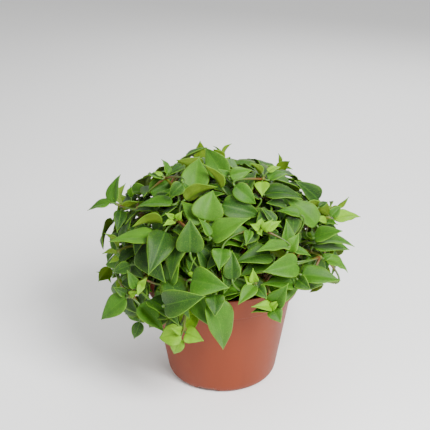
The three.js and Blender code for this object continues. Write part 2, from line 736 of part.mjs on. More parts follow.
// Closed solid through rings of points, ending in a flat ring or in a point. Quads split from
// their even corners, so a blade's two faces split alike; a stalk's three corners (left, top,
// right) meet a blade's four (left, top, right, underside) with one triangle more
function bridge(from, to, sides) {
  const faces = [];
  if (sides[0] === 3 && sides[1] === 4) {
    return [
      [from, from + 1, to + 1], [from, to + 1, to], [from + 1, from + 2, to + 2],
      [from + 1, to + 2, to + 1], [from + 2, from, to + 3], [from, to, to + 3],
      [from + 2, to + 3, to + 2],
    ].flat();
  }
  for (let side = 0; side < sides[0]; side += 1) {
    const next = (side + 1) % sides[0];
    if (side % 2 === 0) {
      faces.push(from + side, from + next, to + next, from + side, to + next, to + side);
    } else {
      faces.push(from + side, from + next, to + side, from + next, to + next, to + side);
    }
  }
  return faces;
}

function loft(rings, apex) {
  const points = rings.flat();
  const faces = [];
  let start = 0;
  for (let index = 0; index + 1 < rings.length; index += 1) {
    const sides = [rings[index].length, rings[index + 1].length];
    faces.push(...bridge(start, start + sides[0], sides));
    start += sides[0];
  }
  for (let side = 1; side + 1 < rings[0].length; side += 1) {
    faces.push(0, side + 1, side);
  }
  const sides = rings[rings.length - 1].length;
  if (apex) {
    points.push(apex);
    for (let side = 0; side < sides; side += 1) {
      faces.push(start + side, start + (side + 1) % sides, points.length - 1);
    }
  } else {
    for (let side = 1; side + 1 < sides; side += 1) {
      faces.push(start, start + side, start + side + 1);
    }
  }
  return toSolid(points, faces);
}

function signedVolume(points, faces) {
  let total = 0;
  for (let index = 0; index < faces.length; index += 3) {
    const [a, b, c] = [points[faces[index]], points[faces[index + 1]], points[faces[index + 2]]];
    total += a.dot(b.clone().cross(c));
  }
  return total;
}

function toSolid(points, faces) {
  const outward = signedVolume(points, faces) > 0 ? faces : faces.slice().reverse();
  return new wasm.Manifold(new wasm.Mesh({
    numProp: 3,
    vertProperties: new Float32Array(points.flatMap((point) => point.toArray())),
    triVerts: new Uint32Array(outward),
  }));
}

function geometrySolid(geometry) {
  geometry.deleteAttribute("normal");
  geometry.deleteAttribute("uv");
  const merged = mergeVertices(geometry, 1e-4);
  return new wasm.Manifold(new wasm.Mesh({
    numProp: 3,
    vertProperties: new Float32Array(merged.attributes.position.array),
    triVerts: new Uint32Array(merged.index.array),
  }));
}

function solidGeometry(solid) {
  const mesh = solid.getMesh();
  const geometry = new THREE.BufferGeometry();
  geometry.setAttribute("position", new THREE.BufferAttribute(new Float32Array(mesh.vertProperties), 3));
  geometry.setIndex(new THREE.BufferAttribute(new Uint32Array(mesh.triVerts), 1));
  geometry.computeVertexNormals();
  return geometry;
}

// Flat four-point section: margin, top, margin, underside
function bladeRing(blade, share) {
  const lift = bladeTop(blade, share).multiplyScalar(bladeThickness / 2);
  const rib = bladePoint(blade, share, 0);
  return [
    bladePoint(blade, share, -1), rib.clone().add(lift),
    bladePoint(blade, share, 1), rib.clone().sub(lift),
  ];
}

// Three-point section of a stalk: left, top, right
function stalkRing(centre, side, top, radius) {
  const low = centre.clone().addScaledVector(top, -0.55 * radius);
  return [
    low.clone().addScaledVector(side, -radius), centre.clone().addScaledVector(top, radius),
    low.clone().addScaledVector(side, radius),
  ];
}

const smallLeaf = 22;
const longStalk = 14;
const weldTolerance = 0.06;
const finestStep = 0.02;
function leafSolid({ blade, root }) {
  const guides = stalkGuides(root, blade);
  const span = root.distanceTo(blade.foot);
  const rings = [];
  for (const share of span > longStalk ? [0, 0.5] : [0]) {
    const centre = bezier(guides, share);
    const run = span < 4 ? blade.axis : bezier(guides, share + 0.1).sub(centre).normalize();
    const side = squareTo(blade.side, run);
    rings.push(stalkRing(centre, side, side.clone().cross(run), share ? petioleRadius : rootRadius));
  }
  if (span > 4) {
    rings.push(stalkRing(blade.foot, blade.side, bladeTop(blade, 0), petioleRadius));
  }
  for (const share of blade.length < smallLeaf || blade.inner ? [0.36] : [0.2, 0.56]) {
    rings.push(bladeRing(blade, share));
  }
  return loft(rings, blade.point);
}

function stemSolid(stem) {
  const foot = stem.corners[0].clone().setZ(soilHeight - stemHoleDepth + fitGap);
  const centres = [foot, ...stem.corners];
  const east = new THREE.Vector3(1, 0, 0);
  const rings = centres.map((centre, index) => {
    const before = centres[Math.max(index - 1, 0)];
    const after = centres[Math.min(index + 1, centres.length - 1)];
    const run = index < 2 ? new THREE.Vector3(0, 0, 1) : after.clone().sub(before).normalize();
    const side = squareTo(east, run);
    const front = run.clone().cross(side);
    const thin = THREE.MathUtils.lerp(stemRadius, stemTipRadius, index / (centres.length - 1));
    return Array.from({ length: stemSides }, (_, corner) => {
      const angle = corner / stemSides * 2 * Math.PI;
      return centre.clone().addScaledVector(side, thin * Math.cos(angle))
        .addScaledVector(front, thin * Math.sin(angle));
    });
  });
  return loft(rings);
}

// Corners fall on a fine lattice, so that those of a hair's breadth apart meet and are joined
function settle(vertex) {
  vertex.forEach((value, axis) => {
    vertex[axis] = Math.round(value / finestStep) * finestStep;
  });
}

function leafyStem(stem) {
  let body = stemSolid(stem);
  for (const leaf of stem.leaves) {
    body = body.add(leafSolid(leaf));
  }
  const settled = body.simplify(weldTolerance).warp(settle).simplify(weldTolerance);
  const pieces = settled.decompose();
  return pieces.reduce((largest, piece) => (piece.volume() > largest.volume() ? piece : largest));
}

// Inside of the pot, from the floor's edge up to the rim, drawn in by a gap
const wallSlope = (wallTopRadius - baseRadius) / (potHeight - collarHeight);
const collarFoot = potHeight - collarHeight;
const potFloor = footRecess + floorThickness;
function insideLine(gap) {
  const corner = baseRadius + wallSlope * potFloor - wallThickness - gap;
  return [
    new THREE.Vector2(corner - heelRadius + 2, potFloor + gap),
    new THREE.Vector2(corner + wallSlope * 5, potFloor + 5 + gap),
    new THREE.Vector2(wallTopRadius - wallThickness - gap, collarFoot + wallThickness + gap),
    new THREE.Vector2(collarFootRadius - wallThickness - gap, collarFoot + wallThickness + gap),
  ];
}

function potSolid() {
  const heelSteps = [0, 0.5, 1].map((share) => {
    const left = 1 - share;
    return new THREE.Vector2(
      left * left * (baseRadius - heelRadius) + 2 * left * share * baseRadius
        + share * share * (baseRadius + wallSlope * heelRadius), share * share * heelRadius);
  });
  const outline = [
    new THREE.Vector2(0, 0),
    new THREE.Vector2(padRadius, 0),
    new THREE.Vector2(padRadius + 1, footRecess),
    new THREE.Vector2(footRingInnerRadius, footRecess),
    new THREE.Vector2(footRingInnerRadius + 1, 0),
    ...heelSteps,
    new THREE.Vector2(wallTopRadius, collarFoot),
    new THREE.Vector2(collarFootRadius, collarFoot),
    new THREE.Vector2(rimRadius, potHeight - 0.8),
    new THREE.Vector2(rimRadius - 0.6, potHeight),
    new THREE.Vector2(rimRadius - 1.6, potHeight),
    ...insideLine(0).reverse(),
    new THREE.Vector2(0, potFloor),
  ];
  const turned = new THREE.LatheGeometry(outline, potSides).rotateX(Math.PI / 2);
  let pot = geometrySolid(turned);
  for (let notch = 0; notch < notchCount; notch += 1) {
    pot = pot.subtract(notchSolid(notchTurn + notch * 2 * Math.PI / notchCount));
  }
  for (let hole = 0; hole < drainHoleCount; hole += 1) {
    const angle = (hole + 0.5) * 2 * Math.PI / drainHoleCount;
    const drill = new THREE.CylinderGeometry(drainHoleRadius, drainHoleRadius, 4 * floorThickness, 8)
      .rotateX(Math.PI / 2)
      .translate(drainHoleCircle * Math.cos(angle), drainHoleCircle * Math.sin(angle), potFloor);
    pot = pot.subtract(geometrySolid(drill));
  }
  return pot;
}

// Drain notch: a low tunnel with sloping ends, from the recess out through the heel
function notchSolid(angle) {
  const half = notchWidth / 2;
  const mouth = new THREE.Shape([
    new THREE.Vector2(-half, -1), new THREE.Vector2(half, -1), new THREE.Vector2(half, 0),
    new THREE.Vector2(half - notchBevel, footRecess), new THREE.Vector2(notchBevel - half, footRecess),
    new THREE.Vector2(-half, 0),
  ]);
  const tunnel = new THREE.ExtrudeGeometry(mouth, { depth: 16, bevelEnabled: false })
    .rotateX(Math.PI / 2).rotateZ(Math.PI / 2)
    .translate(footRingInnerRadius - 3, 0, 0).rotateZ(angle);
  return geometrySolid(tunnel);
}

function soilSolid() {
  const outline = [
    new THREE.Vector2(0, potFloor + fitGap),
    ...insideLine(fitGap),
    new THREE.Vector2(collarFootRadius - wallThickness - fitGap + 0.5, soilHeight - 0.5),
    new THREE.Vector2(30, soilHeight + 0.55 * soilCrown),
    new THREE.Vector2(0, soilHeight + soilCrown),
  ];
  let soil = geometrySolid(new THREE.LatheGeometry(outline, soilSides).rotateX(Math.PI / 2));
  for (const stem of stems) {
    const depth = stemHoleDepth + soilCrown + 2;
    const hole = new THREE.CylinderGeometry(stemRadius + 0.55, stemRadius + 0.55, depth, 6)
      .rotateX(Math.PI / 2)
      .translate(stem.corners[0].x, stem.corners[0].y, soilHeight - stemHoleDepth + depth / 2);
    soil = soil.subtract(geometrySolid(hole));
  }
  return soil;
}

function finish(red, green, blue, roughness) {
  const color = new THREE.Color().setRGB(red / 255, green / 255, blue / 255, THREE.SRGBColorSpace);
  return new THREE.MeshStandardMaterial({ color, roughness, metalness: 0 });
}

const potFinish = finish(178, 106, 80, 0.55);
const soilFinish = finish(52, 40, 28, 0.95);
const leafFinish = finish(98, 142, 66, 0.5);

function named(name, solid, material) {
  const mesh = new THREE.Mesh(solidGeometry(solid), material);
  mesh.name = name;
  return mesh;
}

const plant = new THREE.Group();
stems.forEach((stem, index) => {
  const name = `leafy_stem_${String(index + 1).padStart(2, "0")}`;
  plant.add(named(name, leafyStem(stem), leafFinish));
});

const pottedPlant = new THREE.Group();
pottedPlant.add(named("pot", potSolid(), potFinish));
pottedPlant.add(named("soil", soilSolid(), soilFinish));
pottedPlant.add(plant);

export default pottedPlant;
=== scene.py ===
import math
import bpy
import numpy as np
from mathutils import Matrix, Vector


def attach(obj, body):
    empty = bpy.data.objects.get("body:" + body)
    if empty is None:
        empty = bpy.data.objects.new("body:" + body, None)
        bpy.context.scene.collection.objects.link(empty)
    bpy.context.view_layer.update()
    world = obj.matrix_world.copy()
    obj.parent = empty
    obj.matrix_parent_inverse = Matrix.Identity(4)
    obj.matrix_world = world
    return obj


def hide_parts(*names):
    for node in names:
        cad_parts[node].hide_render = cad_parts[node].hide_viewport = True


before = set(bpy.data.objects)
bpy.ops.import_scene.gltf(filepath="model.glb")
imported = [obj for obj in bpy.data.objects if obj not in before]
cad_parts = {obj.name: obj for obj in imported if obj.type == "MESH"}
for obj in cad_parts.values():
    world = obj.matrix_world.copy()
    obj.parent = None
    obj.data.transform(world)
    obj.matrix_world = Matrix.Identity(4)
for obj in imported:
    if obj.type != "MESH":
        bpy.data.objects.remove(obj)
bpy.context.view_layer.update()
mm = 0.001
print("frame loaded:", len(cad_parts), "nodes")

# The camera stands where the photograph's did; the seen leaves are read through it
cameraFacts = {
    "place": (-5.5, -685.7, 432.5),
    "tilt": 23.9,
    "lens": 85.0,
    "sensor": 36.0,
    "pictureWidth": 430,
}


def makeCamera(facts):
    lens = bpy.data.cameras.new("photoCamera")
    lens.lens = facts["lens"]
    lens.sensor_width = facts["sensor"]
    camera = bpy.data.objects.new("photoCamera", lens)
    camera.location = [value * mm for value in facts["place"]]
    camera.rotation_euler = (math.radians(90 - facts["tilt"]), 0, 0)
    bpy.context.scene.collection.objects.link(camera)
    bpy.context.scene.camera = camera


makeCamera(cameraFacts)

# Sizes that the solids are made to, in millimetres
potFacts = {
    "rimRadius": 60.0, "height": 88.7, "collarHeight": 16.3, "collarFootRadius": 57.5,
    "wallTopRadius": 53.2, "baseRadius": 41.0, "heelRadius": 6.5, "wall": 1.2, "floor": 1.6,
    "footRecess": 2.8, "footRingInner": 31.0, "padRadius": 9.0, "holeRadius": 2.6,
    "holeCircle": 20.0, "holes": 6, "notches": 3, "notchWidth": 17.0, "notchBevel": 1.5,
    "notchTurn": -106.5,
}
soilFacts = {"height": 80.0, "crown": 3.0, "gap": 0.3}
plantFacts = {
    "stemRadius": 1.35, "stemTipRadius": 0.95, "stalkRadius": 0.95, "stemHoleDepth": 11.0,
    "fold": 0.5, "droop": 0.22, "arch": 0.1, "ratio": 0.56, "clearance": 2.5,
    "rimRoom": 2.2, "wallRoom": 4.5, "soilRoom": 2,
}
moundRadii = np.array([92.0, 85.0, 82.0])
moundMiddle = np.array([0.0, 0.0, 95.0])

# Shoots that the camera meets: pixel of the tip, how far out on the mound it stands, whether it
# hangs, and its leaves as below
seenShoots = [
    ((118, 205), 1, False, [
        ((110, 203), (87, 211), 6, "mid"),
        ((115, 203), (121, 174), 8, "mid"),
        ((123, 205), (126, 183), 7, "olive"),
        ((118, 205), (117, 194), 5, "lime"),
        ((124, 210), (140, 202), 6, "olive"),
        ((121, 211), (117, 233), 9, "dark"),
    ]),
    ((264, 178), 1, False, [
        ((262, 173), (250, 163), 5, "olive"),
        ((265, 173), (265, 162), 5, "lime"),
        ((268, 172), (281, 167), 4, "lime"),
        ((269, 180), (288, 174), 6, "mid"),
        ((262, 182), (262, 197), 10, "lime"),
    ]),
    ((331, 218), 1, False, [
        ((334, 220), (361, 217), 8, "lime"),
        ((331, 216), (341, 206), 7, "mid"),
        ((331, 216), (329, 203), 3, "dark"),
        ((326, 221), (313, 219), 5, "lime"),
        ((326, 223), (338, 225), 4, "mid"),
    ]),
    ((262, 229), 0.96, False, [
        ((259, 228), (250, 224), 5, "lime"),
        ((260, 226), (262, 218), 5, "lime"),
        ((263, 230), (273, 219), 6, "lime"),
        ((266, 230), (281, 221), 6, "lime"),
        ((259, 231), (262, 236), 4, "lime"),
    ]),
    ((129, 298), 1, False, [
        ((126, 298), (101, 320), 13, "mid"),
        ((128, 303), (106, 322), 6, "olive"),
        ((126, 294), (113, 287), 6, "dark"),
        ((130, 295), (138, 291), 5, "lime"),
    ]),
    ((184, 331), 0.97, True, [
        ((186, 333), (204, 341), 11, "lime"),
        ((181, 333), (159, 338), 14, "lime"),
        ((180, 338), (174, 354), 9, "lime"),
        ((181, 331), (170, 328), 6, "lime"),
        ((186, 331), (192, 325), 6, "lime"),
    ]),
    ((141, 285), 0.97, False, [
        ((140, 286), (147, 278), 5, "lime"),
        ((142, 284), (137, 296), 5, "lime"),
        ((145, 286), (138, 270), 4, "olive"),
        ((136, 288), (127, 270), 7, "mid"),
    ]),
    ((117, 252), 1, False, [
        ((117, 254), (102, 254), 4, "olive"),
        ((118, 257), (109, 263), 4, "olive"),
        ((118, 247), (104, 233), 5, "olive"),
    ]),
    ((272, 308), 0.92, True, [
        ((271, 308), (251, 307), 7, "lime"),
        ((271, 309), (281, 300), 5, "lime"),
        ((273, 309), (281, 323), 10, "mid"),
        ((274, 303), (289, 283), 12, "mid"),
        ((270, 311), (251, 313), 5, "dark"),
    ]),
    ((176, 220), 0.95, False, [
        ((174, 218), (165, 213), 4, "lime"),
        ((177, 219), (182, 211), 5, "lime"),
        ((174, 222), (163, 226), 4, "lime"),
    ]),
    ((163, 177), 1, False, [
        ((162, 176), (153, 172), 3, "lime"),
        ((162, 179), (142, 179), 3, "mid"),
        ((167, 174), (161, 159), 4, "mid"),
    ]),
    ((322, 258), 0.97, False, [
        ((323, 258), (333, 254), 5, "mid"),
        ((326, 260), (348, 273), 7, "pale"),
    ]),
    ((256, 284), 0.9, False, [
        ((254, 282), (253, 268), 6, "lime"),
        ((253, 283), (244, 276), 6, "lime"),
        ((254, 286), (238, 305), 9, "pale"),
        ((258, 288), (267, 299), 8, "dark"),
    ]),
]

# Single leaves that the camera meets: pixels of foot and point, width as seen in mm, and look. The pale
# look paints a highlight on a leaf lit from above; the dark look is old leaves' green, here also
# painted shade on a leaf in shade
seenLeaves = [
    ((210, 300), (223, 350), 17, "mid"),
    ((183, 325), (203, 305), 13, "lime"),
    ((192, 280), (230, 288), 18, "mid"),
    ((205, 220), (213, 190), 20, "pale"),
    ((150, 300), (180, 327), 12, "dark"),
    ((140, 322), (134, 339), 8, "dark"),
    ((186, 280), (151, 305), 18, "pale"),
    ((215, 295), (215, 317), 12, "dark"),
    ((165, 305), (206, 296), 17, "dark"),
    ((188, 273), (198, 285), 3, "lime"),
    ((240, 292), (218, 302), 4, "mid"),
    ((194, 275), (213, 239), 17, "mid"),
    ((186, 272), (168, 250), 7, "mid"),
    ((222, 249), (219, 271), 12, "mid"),
    ((232, 279), (232, 250), 11, "dark"),
    ((212, 238), (251, 218), 13, "pale"),
    ((211, 239), (192, 229), 5, "lime"),
    ((209, 236), (198, 218), 5, "mid"),
    ((203, 222), (181, 201), 12, "pale"),
    ((205, 226), (233, 216), 6, "olive"),
    ((190, 252), (190, 218), 17, "dark"),
    ((185, 200), (218, 187), 9, "olive"),
    ((188, 194), (181, 180), 5, "mid"),
    ((193, 190), (199, 157), 18, "pale"),
    ((222, 188), (202, 163), 6, "olive"),
    ((229, 177), (218, 169), 4, "mid"),
    ((225, 178), (205, 147), 15, "mid"),
    ((230, 176), (252, 170), 9, "pale"),
    ((235, 186), (256, 204), 11, "mid"),
    ((222, 205), (263, 217), 15, "dark"),
    ((222, 185), (250, 185), 7, "dark"),
    ((202, 168), (176, 160), 12, "olive"),
    ((157, 239), (108, 242), 10, "pale"),
    ((163, 223), (132, 227), 7, "olive"),
    ((172, 205), (135, 208), 7, "mid"),
    ((137, 210), (159, 213), 6, "dark"),
    ((150, 192), (181, 177), 13, "mid"),
    ((130, 193), (153, 192), 7, "mid"),
    ((131, 197), (131, 185), 4, "pale"),
    ((182, 184), (169, 197), 9, "dark"),
    ((183, 166), (168, 176), 6, "dark"),
    ((165, 232), (148, 276), 18, "dark"),
    ((120, 261), (148, 244), 8, "dark"),
    ((161, 234), (147, 234), 4, "dark"),
    ((288, 251), (299, 233), 9, "pale"),
    ((287, 247), (286, 219), 9, "mid"),
    ((293, 250), (311, 256), 5, "mid"),
    ((313, 247), (350, 250), 10, "mid"),
    ((316, 243), (355, 247), 7, "mid"),
    ((288, 247), (256, 252), 7, "pale"),
    ((283, 243), (255, 243), 6, "mid"),
    ((290, 262), (238, 258), 6, "olive"),
    ((308, 256), (327, 271), 10, "mid"),
    ((294, 285), (260, 285), 10, "mid"),
    ((297, 264), (262, 272), 15, "mid"),
    ((249, 231), (246, 246), 6, "mid"),
    ((215, 246), (246, 249), 5, "mid"),
    ((302, 275), (341, 281), 12, "mid"),
    ((335, 283), (304, 285), 4, "mid"),
    ((298, 280), (311, 290), 9, "dark"),
    ((265, 195), (303, 200), 9, "dark"),
    ((318, 200), (294, 180), 12, "dark"),
    ((316, 225), (283, 197), 13, "pale"),
    ((328, 216), (297, 207), 10, "olive"),
    ((315, 238), (343, 231), 9, "mid"),
    ((300, 215), (277, 211), 6, "mid"),
    ((275, 222), (261, 208), 6, "dark"),
    ((319, 207), (328, 202), 4, "dark"),
    ((140, 305), (165, 333), 13, "mid"),
    ((133, 300), (153, 317), 9, "mid"),
    ((130, 265), (113, 272), 8, "dark"),
    ((120, 279), (117, 288), 4, "olive"),
]

# Shoots that it doesn't meet: turn round the pot from +X, height angle, place on the mound
hiddenShoots = [
    (-92, 12, 0.78), (-118, 38, 0.76), (-70, 50, 0.76), (-48, 24, 0.78), (-140, 6, 0.8),
    (-22, 8, 0.9), (12, 22, 1.02), (38, -8, 1.02), (52, 38, 1), (78, 4, 1.02),
    (104, 40, 1), (118, -12, 1.02), (146, 18, 1.02), (170, -14, 1), (90, 66, 0.92),
]

# From here to the inner leaves, stems and leaves are placed by the same rule as in the solids.
# Its even random draws come from a seed: each state is the remainder of the last one times the
# factor, plus the step, when that is divided by the count
drawFacts = {"factor": 1664525, "step": 1013904223, "count": 4294967296}
drawState = [20731]


def draw(low, high):
    drawState[0] = (drawState[0] * drawFacts["factor"] + drawFacts["step"]) % drawFacts["count"]
    return low + (high - low) * drawState[0] / drawFacts["count"]


def lengthOf(vector):
    return np.sqrt((vector * vector).sum(-1))


def unit(vector):
    return vector / lengthOf(vector)[..., None]


def around(turn, radius, height):
    return np.array([math.cos(turn) * radius, math.sin(turn) * radius, height])


# Part of a vector that stands square to a direction, made unit length
def squareTo(vector, direction):
    return unit(vector - direction * vector.dot(direction))


# Turned about a unit axis by an angle: the part along the axis stays, and the rest goes round by
# cosine and sine
def turned(vector, axis, angle):
    return (vector * math.cos(angle) + np.cross(axis, vector) * math.sin(angle)
            + axis * axis.dot(vector) * (1 - math.cos(angle)))


# The eye stands at the camera; its focal length is the lens's, in pixels
eye = np.array(cameraFacts["place"])
eyeTilt = math.radians(cameraFacts["tilt"])
focalPixels = 1015.3
pictureMiddle = cameraFacts["pictureWidth"] / 2
sightAhead = np.array([0, math.cos(eyeTilt), -math.sin(eyeTilt)])
sightUp = np.array([0, math.sin(eyeTilt), math.cos(eyeTilt)])


# Sight line through a pixel: the eye plus this vector times the depth
def sightThrough(pixel):
    sight = sightAhead.copy()
    sight[0] += (pixel[0] - pictureMiddle) / focalPixels
    return sight + sightUp * ((pictureMiddle - pixel[1]) / focalPixels)


def atDepth(pixel, depth):
    return eye + sightThrough(pixel) * depth


# Depth at which a sight line meets the mound grown by a scale, or passes it closest
def moundDepth(pixel, scale):
    start = (eye - moundMiddle) / moundRadii
    along = sightThrough(pixel) / moundRadii
    square = along.dot(along)
    half = along.dot(start)
    rest = half * half - square * (start.dot(start) - scale * scale)
    return (-half - math.sqrt(max(rest, 0))) / square


# How far the foliage reaches from its middle in the picture, in pixels, at every fifteenth degree
# anticlockwise from the right
reachFacts = {
    "middle": (215, 245),
    "reach": (130, 134, 118, 104, 99, 87, 98, 101, 100, 97, 126, 124,
              113, 109, 128, 117, 114, 113, 106, 66, 84, 96, 99, 132),
}


def isWithinReach(points):
    rays = np.array(points) - eye
    depth = rays.dot(sightAhead)
    across = pictureMiddle + focalPixels * rays[:, 0] / depth - reachFacts["middle"][0]
    up = reachFacts["middle"][1] - pictureMiddle + focalPixels * rays.dot(sightUp) / depth
    reach = reachFacts["reach"]
    turn = (np.arctan2(up, across) / (2 * math.pi) + 1) * len(reach) % len(reach)
    limit = np.interp(turn, np.arange(len(reach) + 1), [*reach, reach[0]])
    return np.all(np.hypot(across, up) < limit)


# Point of the mound grown by a scale, seen from its middle in a direction
def moundPoint(direction, scale):
    return direction * moundRadii * scale + moundMiddle


# Room already taken: cells within the clearance of a point hold its stem's number, or the shared
# mark between two stems
gridFacts = {"cell": 0.75, "counts": (300, 300, 270), "corner": (-112.0, -112.0, 0.0), "shared": 255}
gridCorner = np.array(gridFacts["corner"])
taken = np.zeros(gridFacts["counts"], np.uint8)
gridReach = math.ceil(plantFacts["clearance"] / gridFacts["cell"])
gridSteps = np.arange(-gridReach, gridReach + 1)
nearCells = np.stack(np.meshgrid(gridSteps, gridSteps, gridSteps, indexing="ij"), -1).reshape(-1, 3)


def cellsOf(points):
    return np.floor((points - gridCorner) / gridFacts["cell"]).astype(int)


def take(points, owner):
    points = np.reshape(points, (-1, 3))
    cells = cellsOf(points)[:, None, :] + nearCells
    away = (cells + 0.5) * gridFacts["cell"] + gridCorner - points[:, None, :]
    square = away[..., 0] ** 2 + away[..., 1] ** 2 + away[..., 2] ** 2
    hit = tuple(cells[square < plantFacts["clearance"] ** 2].T)
    marks = taken[hit]
    taken[hit] = np.where((marks == 0) | (marks == owner), owner, gridFacts["shared"])


# Clear of the pot, the soil and all that is taken, or all but one's own stem. Slack is the share
# of the points that may still meet another leaf's clearance
def isClear(points, own=0, slack=0.0):
    points = np.reshape(points, (-1, 3))
    radius, height = np.hypot(points[:, 0], points[:, 1]), points[:, 2]
    room = plantFacts["rimRoom"]
    atPot = (radius < potFacts["rimRadius"] + room) & (height < potFacts["height"] + room)
    inMouth = ((radius < potFacts["collarFootRadius"] - plantFacts["wallRoom"])
               & (height > soilFacts["height"] + soilFacts["crown"] + plantFacts["soilRoom"]))
    if np.any(atPot & ~inMouth):
        return False
    marks = taken[tuple(cellsOf(points).T)]
    return np.count_nonzero((marks != 0) & (marks != own)) <= slack * marks.size


# A smooth line from the first to the last of four guide points, drawn towards the two between: a
# cubic of the share of the way, for one share or an array of them
def bezier(guides, share):
    a, b, c, d = guides
    share = np.asarray(share)[..., None]
    left = 1 - share
    return (a * left ** 3 + b * (3 * left * left * share)
            + c * (3 * left * share * share) + d * share ** 3)


# A stem's bend: lengths in millimetres, and shares of its spread or of its height over the soil
stemBend = {
    "fromSoil": 2, "reach": 0.42, "longestReach": 38, "rise": 0.45, "leastRise": 18,
    "arch": 0.35, "leastArch": 10, "over": 0.62, "hangingArch": 34, "hangingOver": 0.85,
    "sways": (0, 0.12, -0.12, 0.24, -0.24, 0.36, -0.36), "steps": 7, "spacing": 2, "insidePot": 50,
}


# Stems bend in a few straight steps; their points stand along those steps
def alongSteps(guides):
    corners = bezier(guides, np.arange(stemBend["steps"] + 1) / stemBend["steps"])
    points = []
    for start, end in zip(corners, corners[1:]):
        count = math.ceil(lengthOf(end - start) / stemBend["spacing"])
        points.append(start + (end - start) * (np.arange(count) / count)[:, None])
    return np.concatenate([*points, corners[-1:]])


def alongStalk(guides):
    count = max(2, math.ceil(lengthOf(np.diff(guides, axis=0)).sum() / stemBend["spacing"]))
    return bezier(guides, np.arange(count + 1) / count)


# A stem leaves the soil upright, arches over inside the mound and ends at its shoot
def stemGuides(target, hangs, sway):
    bend = stemBend
    spread = math.hypot(target[0], target[1])
    reach = min(bend["reach"] * spread, bend["longestReach"])
    heading = math.atan2(target[1], target[0]) + sway
    root = around(heading, reach, soilFacts["height"] + bend["fromSoil"])
    rise = max(bend["leastRise"], bend["rise"] * (target[2] - root[2]))
    arch = max(bend["leastArch"], bend["arch"] * (spread - (target[2] - root[2])))
    over = root + (target - root) * bend["hangingOver" if hangs else "over"]
    over[2] = (max(over[2], root[2]) * 0.5 + max(target[2], root[2]) * 0.5
               + (bend["hangingArch"] if hangs else arch))
    return np.array([root, root + [0, 0, rise], over, target])


stems = []


def growStem(target, hangs):
    for sway in stemBend["sways"]:
        guides = stemGuides(target, hangs, sway)
        line = alongSteps(guides)
        radius = np.hypot(line[:, 0], line[:, 1])
        if isClear(line[(line[:, 2] > potFacts["height"]) | (radius > stemBend["insidePot"])]):
            stem = {"number": len(stems) + 1, "guides": guides, "line": line, "tip": target,
                    "leaves": [], "inner": []}
            take(line, stem["number"])
            stems.append(stem)
            return stem
    return None


# A blade's outline by powers of the shares from its foot and from its point, its highest place
# along the midrib, its widest place, and where its own clearance and its test points begin
bladeFacts = {
    "footPower": 0.5, "pointPower": 1.15, "widestOutline": 0.3634, "crownShare": 0.45,
    "widestShare": 0.4, "takenFrom": 0.04, "testedFrom": 0.08, "spacing": 2.3,
}


# Unit vector from a foot to a point, and the length between them
def axisAndLength(foot, point):
    axis = point - foot
    length = math.sqrt(axis.dot(axis))
    return axis / length, length


# Leaf blade: foot, point, normal of its top, length and width; its midrib arches over its crown
def makeBlade(foot, point, normal, width, arch, fold, look):
    axis, length = axisAndLength(foot, point)
    top = squareTo(normal, axis)
    crown = foot + (point - foot) * bladeFacts["crownShare"] + top * (2 * arch * length)
    return {"foot": foot, "point": point, "axis": axis, "crown": crown, "look": look,
            "side": unit(np.cross(axis, top)), "length": length, "width": width, "fold": fold}


# Half the width at a share of the length: an ovate outline with a broad base and a drawn-out point
def halfWidth(width, share):
    outline = share ** bladeFacts["footPower"] * (1 - share) ** bladeFacts["pointPower"]
    return 0.5 * width * outline / bladeFacts["widestOutline"]


# A blade's midrib at a share of its length, a parabola from foot to point drawn towards the crown,
# and the upward normal there
def midrib(foot, crown, point, side, share):
    left = 1 - share
    rib = foot * (left * left) + crown * (2 * left * share) + point * (share * share)
    run = (crown - foot) * left + (point - crown) * share
    return rib, unit(np.cross(side, unit(run)))


# Points on the middle sheet of a blade: across the midrib it rises on both sides by the fold and
# droops by the square of the way across
def bladePoints(blade, share, across):
    share = share[:, None, None]
    across = across[None, :, None]
    rib, top = midrib(blade["foot"], blade["crown"], blade["point"], blade["side"], share)
    half = halfWidth(blade["width"], share)
    height = half * (blade["fold"] * np.abs(across) - plantFacts["droop"] * across * across)
    return rib + blade["side"] * (half * across) + top * height


def bladeSpots(blade, start, end):
    spacing = bladeFacts["spacing"]
    steps = max(3, math.ceil((end - start) * blade["length"] / spacing))
    sides = max(2, math.ceil(blade["width"] / 2 / spacing))
    share = np.minimum(start + (end - start) * np.arange(steps + 1) / steps, 1)
    return bladePoints(blade, share, np.arange(-sides, sides + 1) / sides)


# A stalk's bend, its least length, how much a joint in line with the blade is preferred, how many
# stems are tried, and the length near its foot that may touch its stem
stalkFacts = {
    "kneeShare": 0.4, "footPull": 0.6, "topPull": 0.4, "shortest": 2.6, "fromSoil": 6,
    "straightness": 1.5, "tries": 6, "footZone": 4.4, "sink": 0.15,
}


# A stalk leaves its stem and meets a blade's foot in line with the midrib
def stalkGuides(root, blade):
    span = lengthOf(root - blade["foot"])
    knee = blade["foot"] - blade["axis"] * (stalkFacts["kneeShare"] * span)
    return np.array([root, root + (knee - root) * stalkFacts["footPull"],
                     knee + (blade["foot"] - knee) * stalkFacts["topPull"], blade["foot"]])


# The joint on a stem whose stalk would be shortest and straightest, with its cost
def bestJoint(stem, blade, longest):
    spots = stem["line"][:-1]
    reach = blade["foot"] - spots
    span = lengthOf(reach)
    good = ((span < longest) & (span > stalkFacts["shortest"])
            & (spots[:, 2] > soilFacts["height"] + stalkFacts["fromSoil"]))
    if not good.any():
        return None
    cost = span * (stalkFacts["straightness"] - reach.dot(blade["axis"]) / span)
    best = int(np.argmin(np.where(good, cost, np.inf)))
    return cost[best], stem["number"], spots[best]


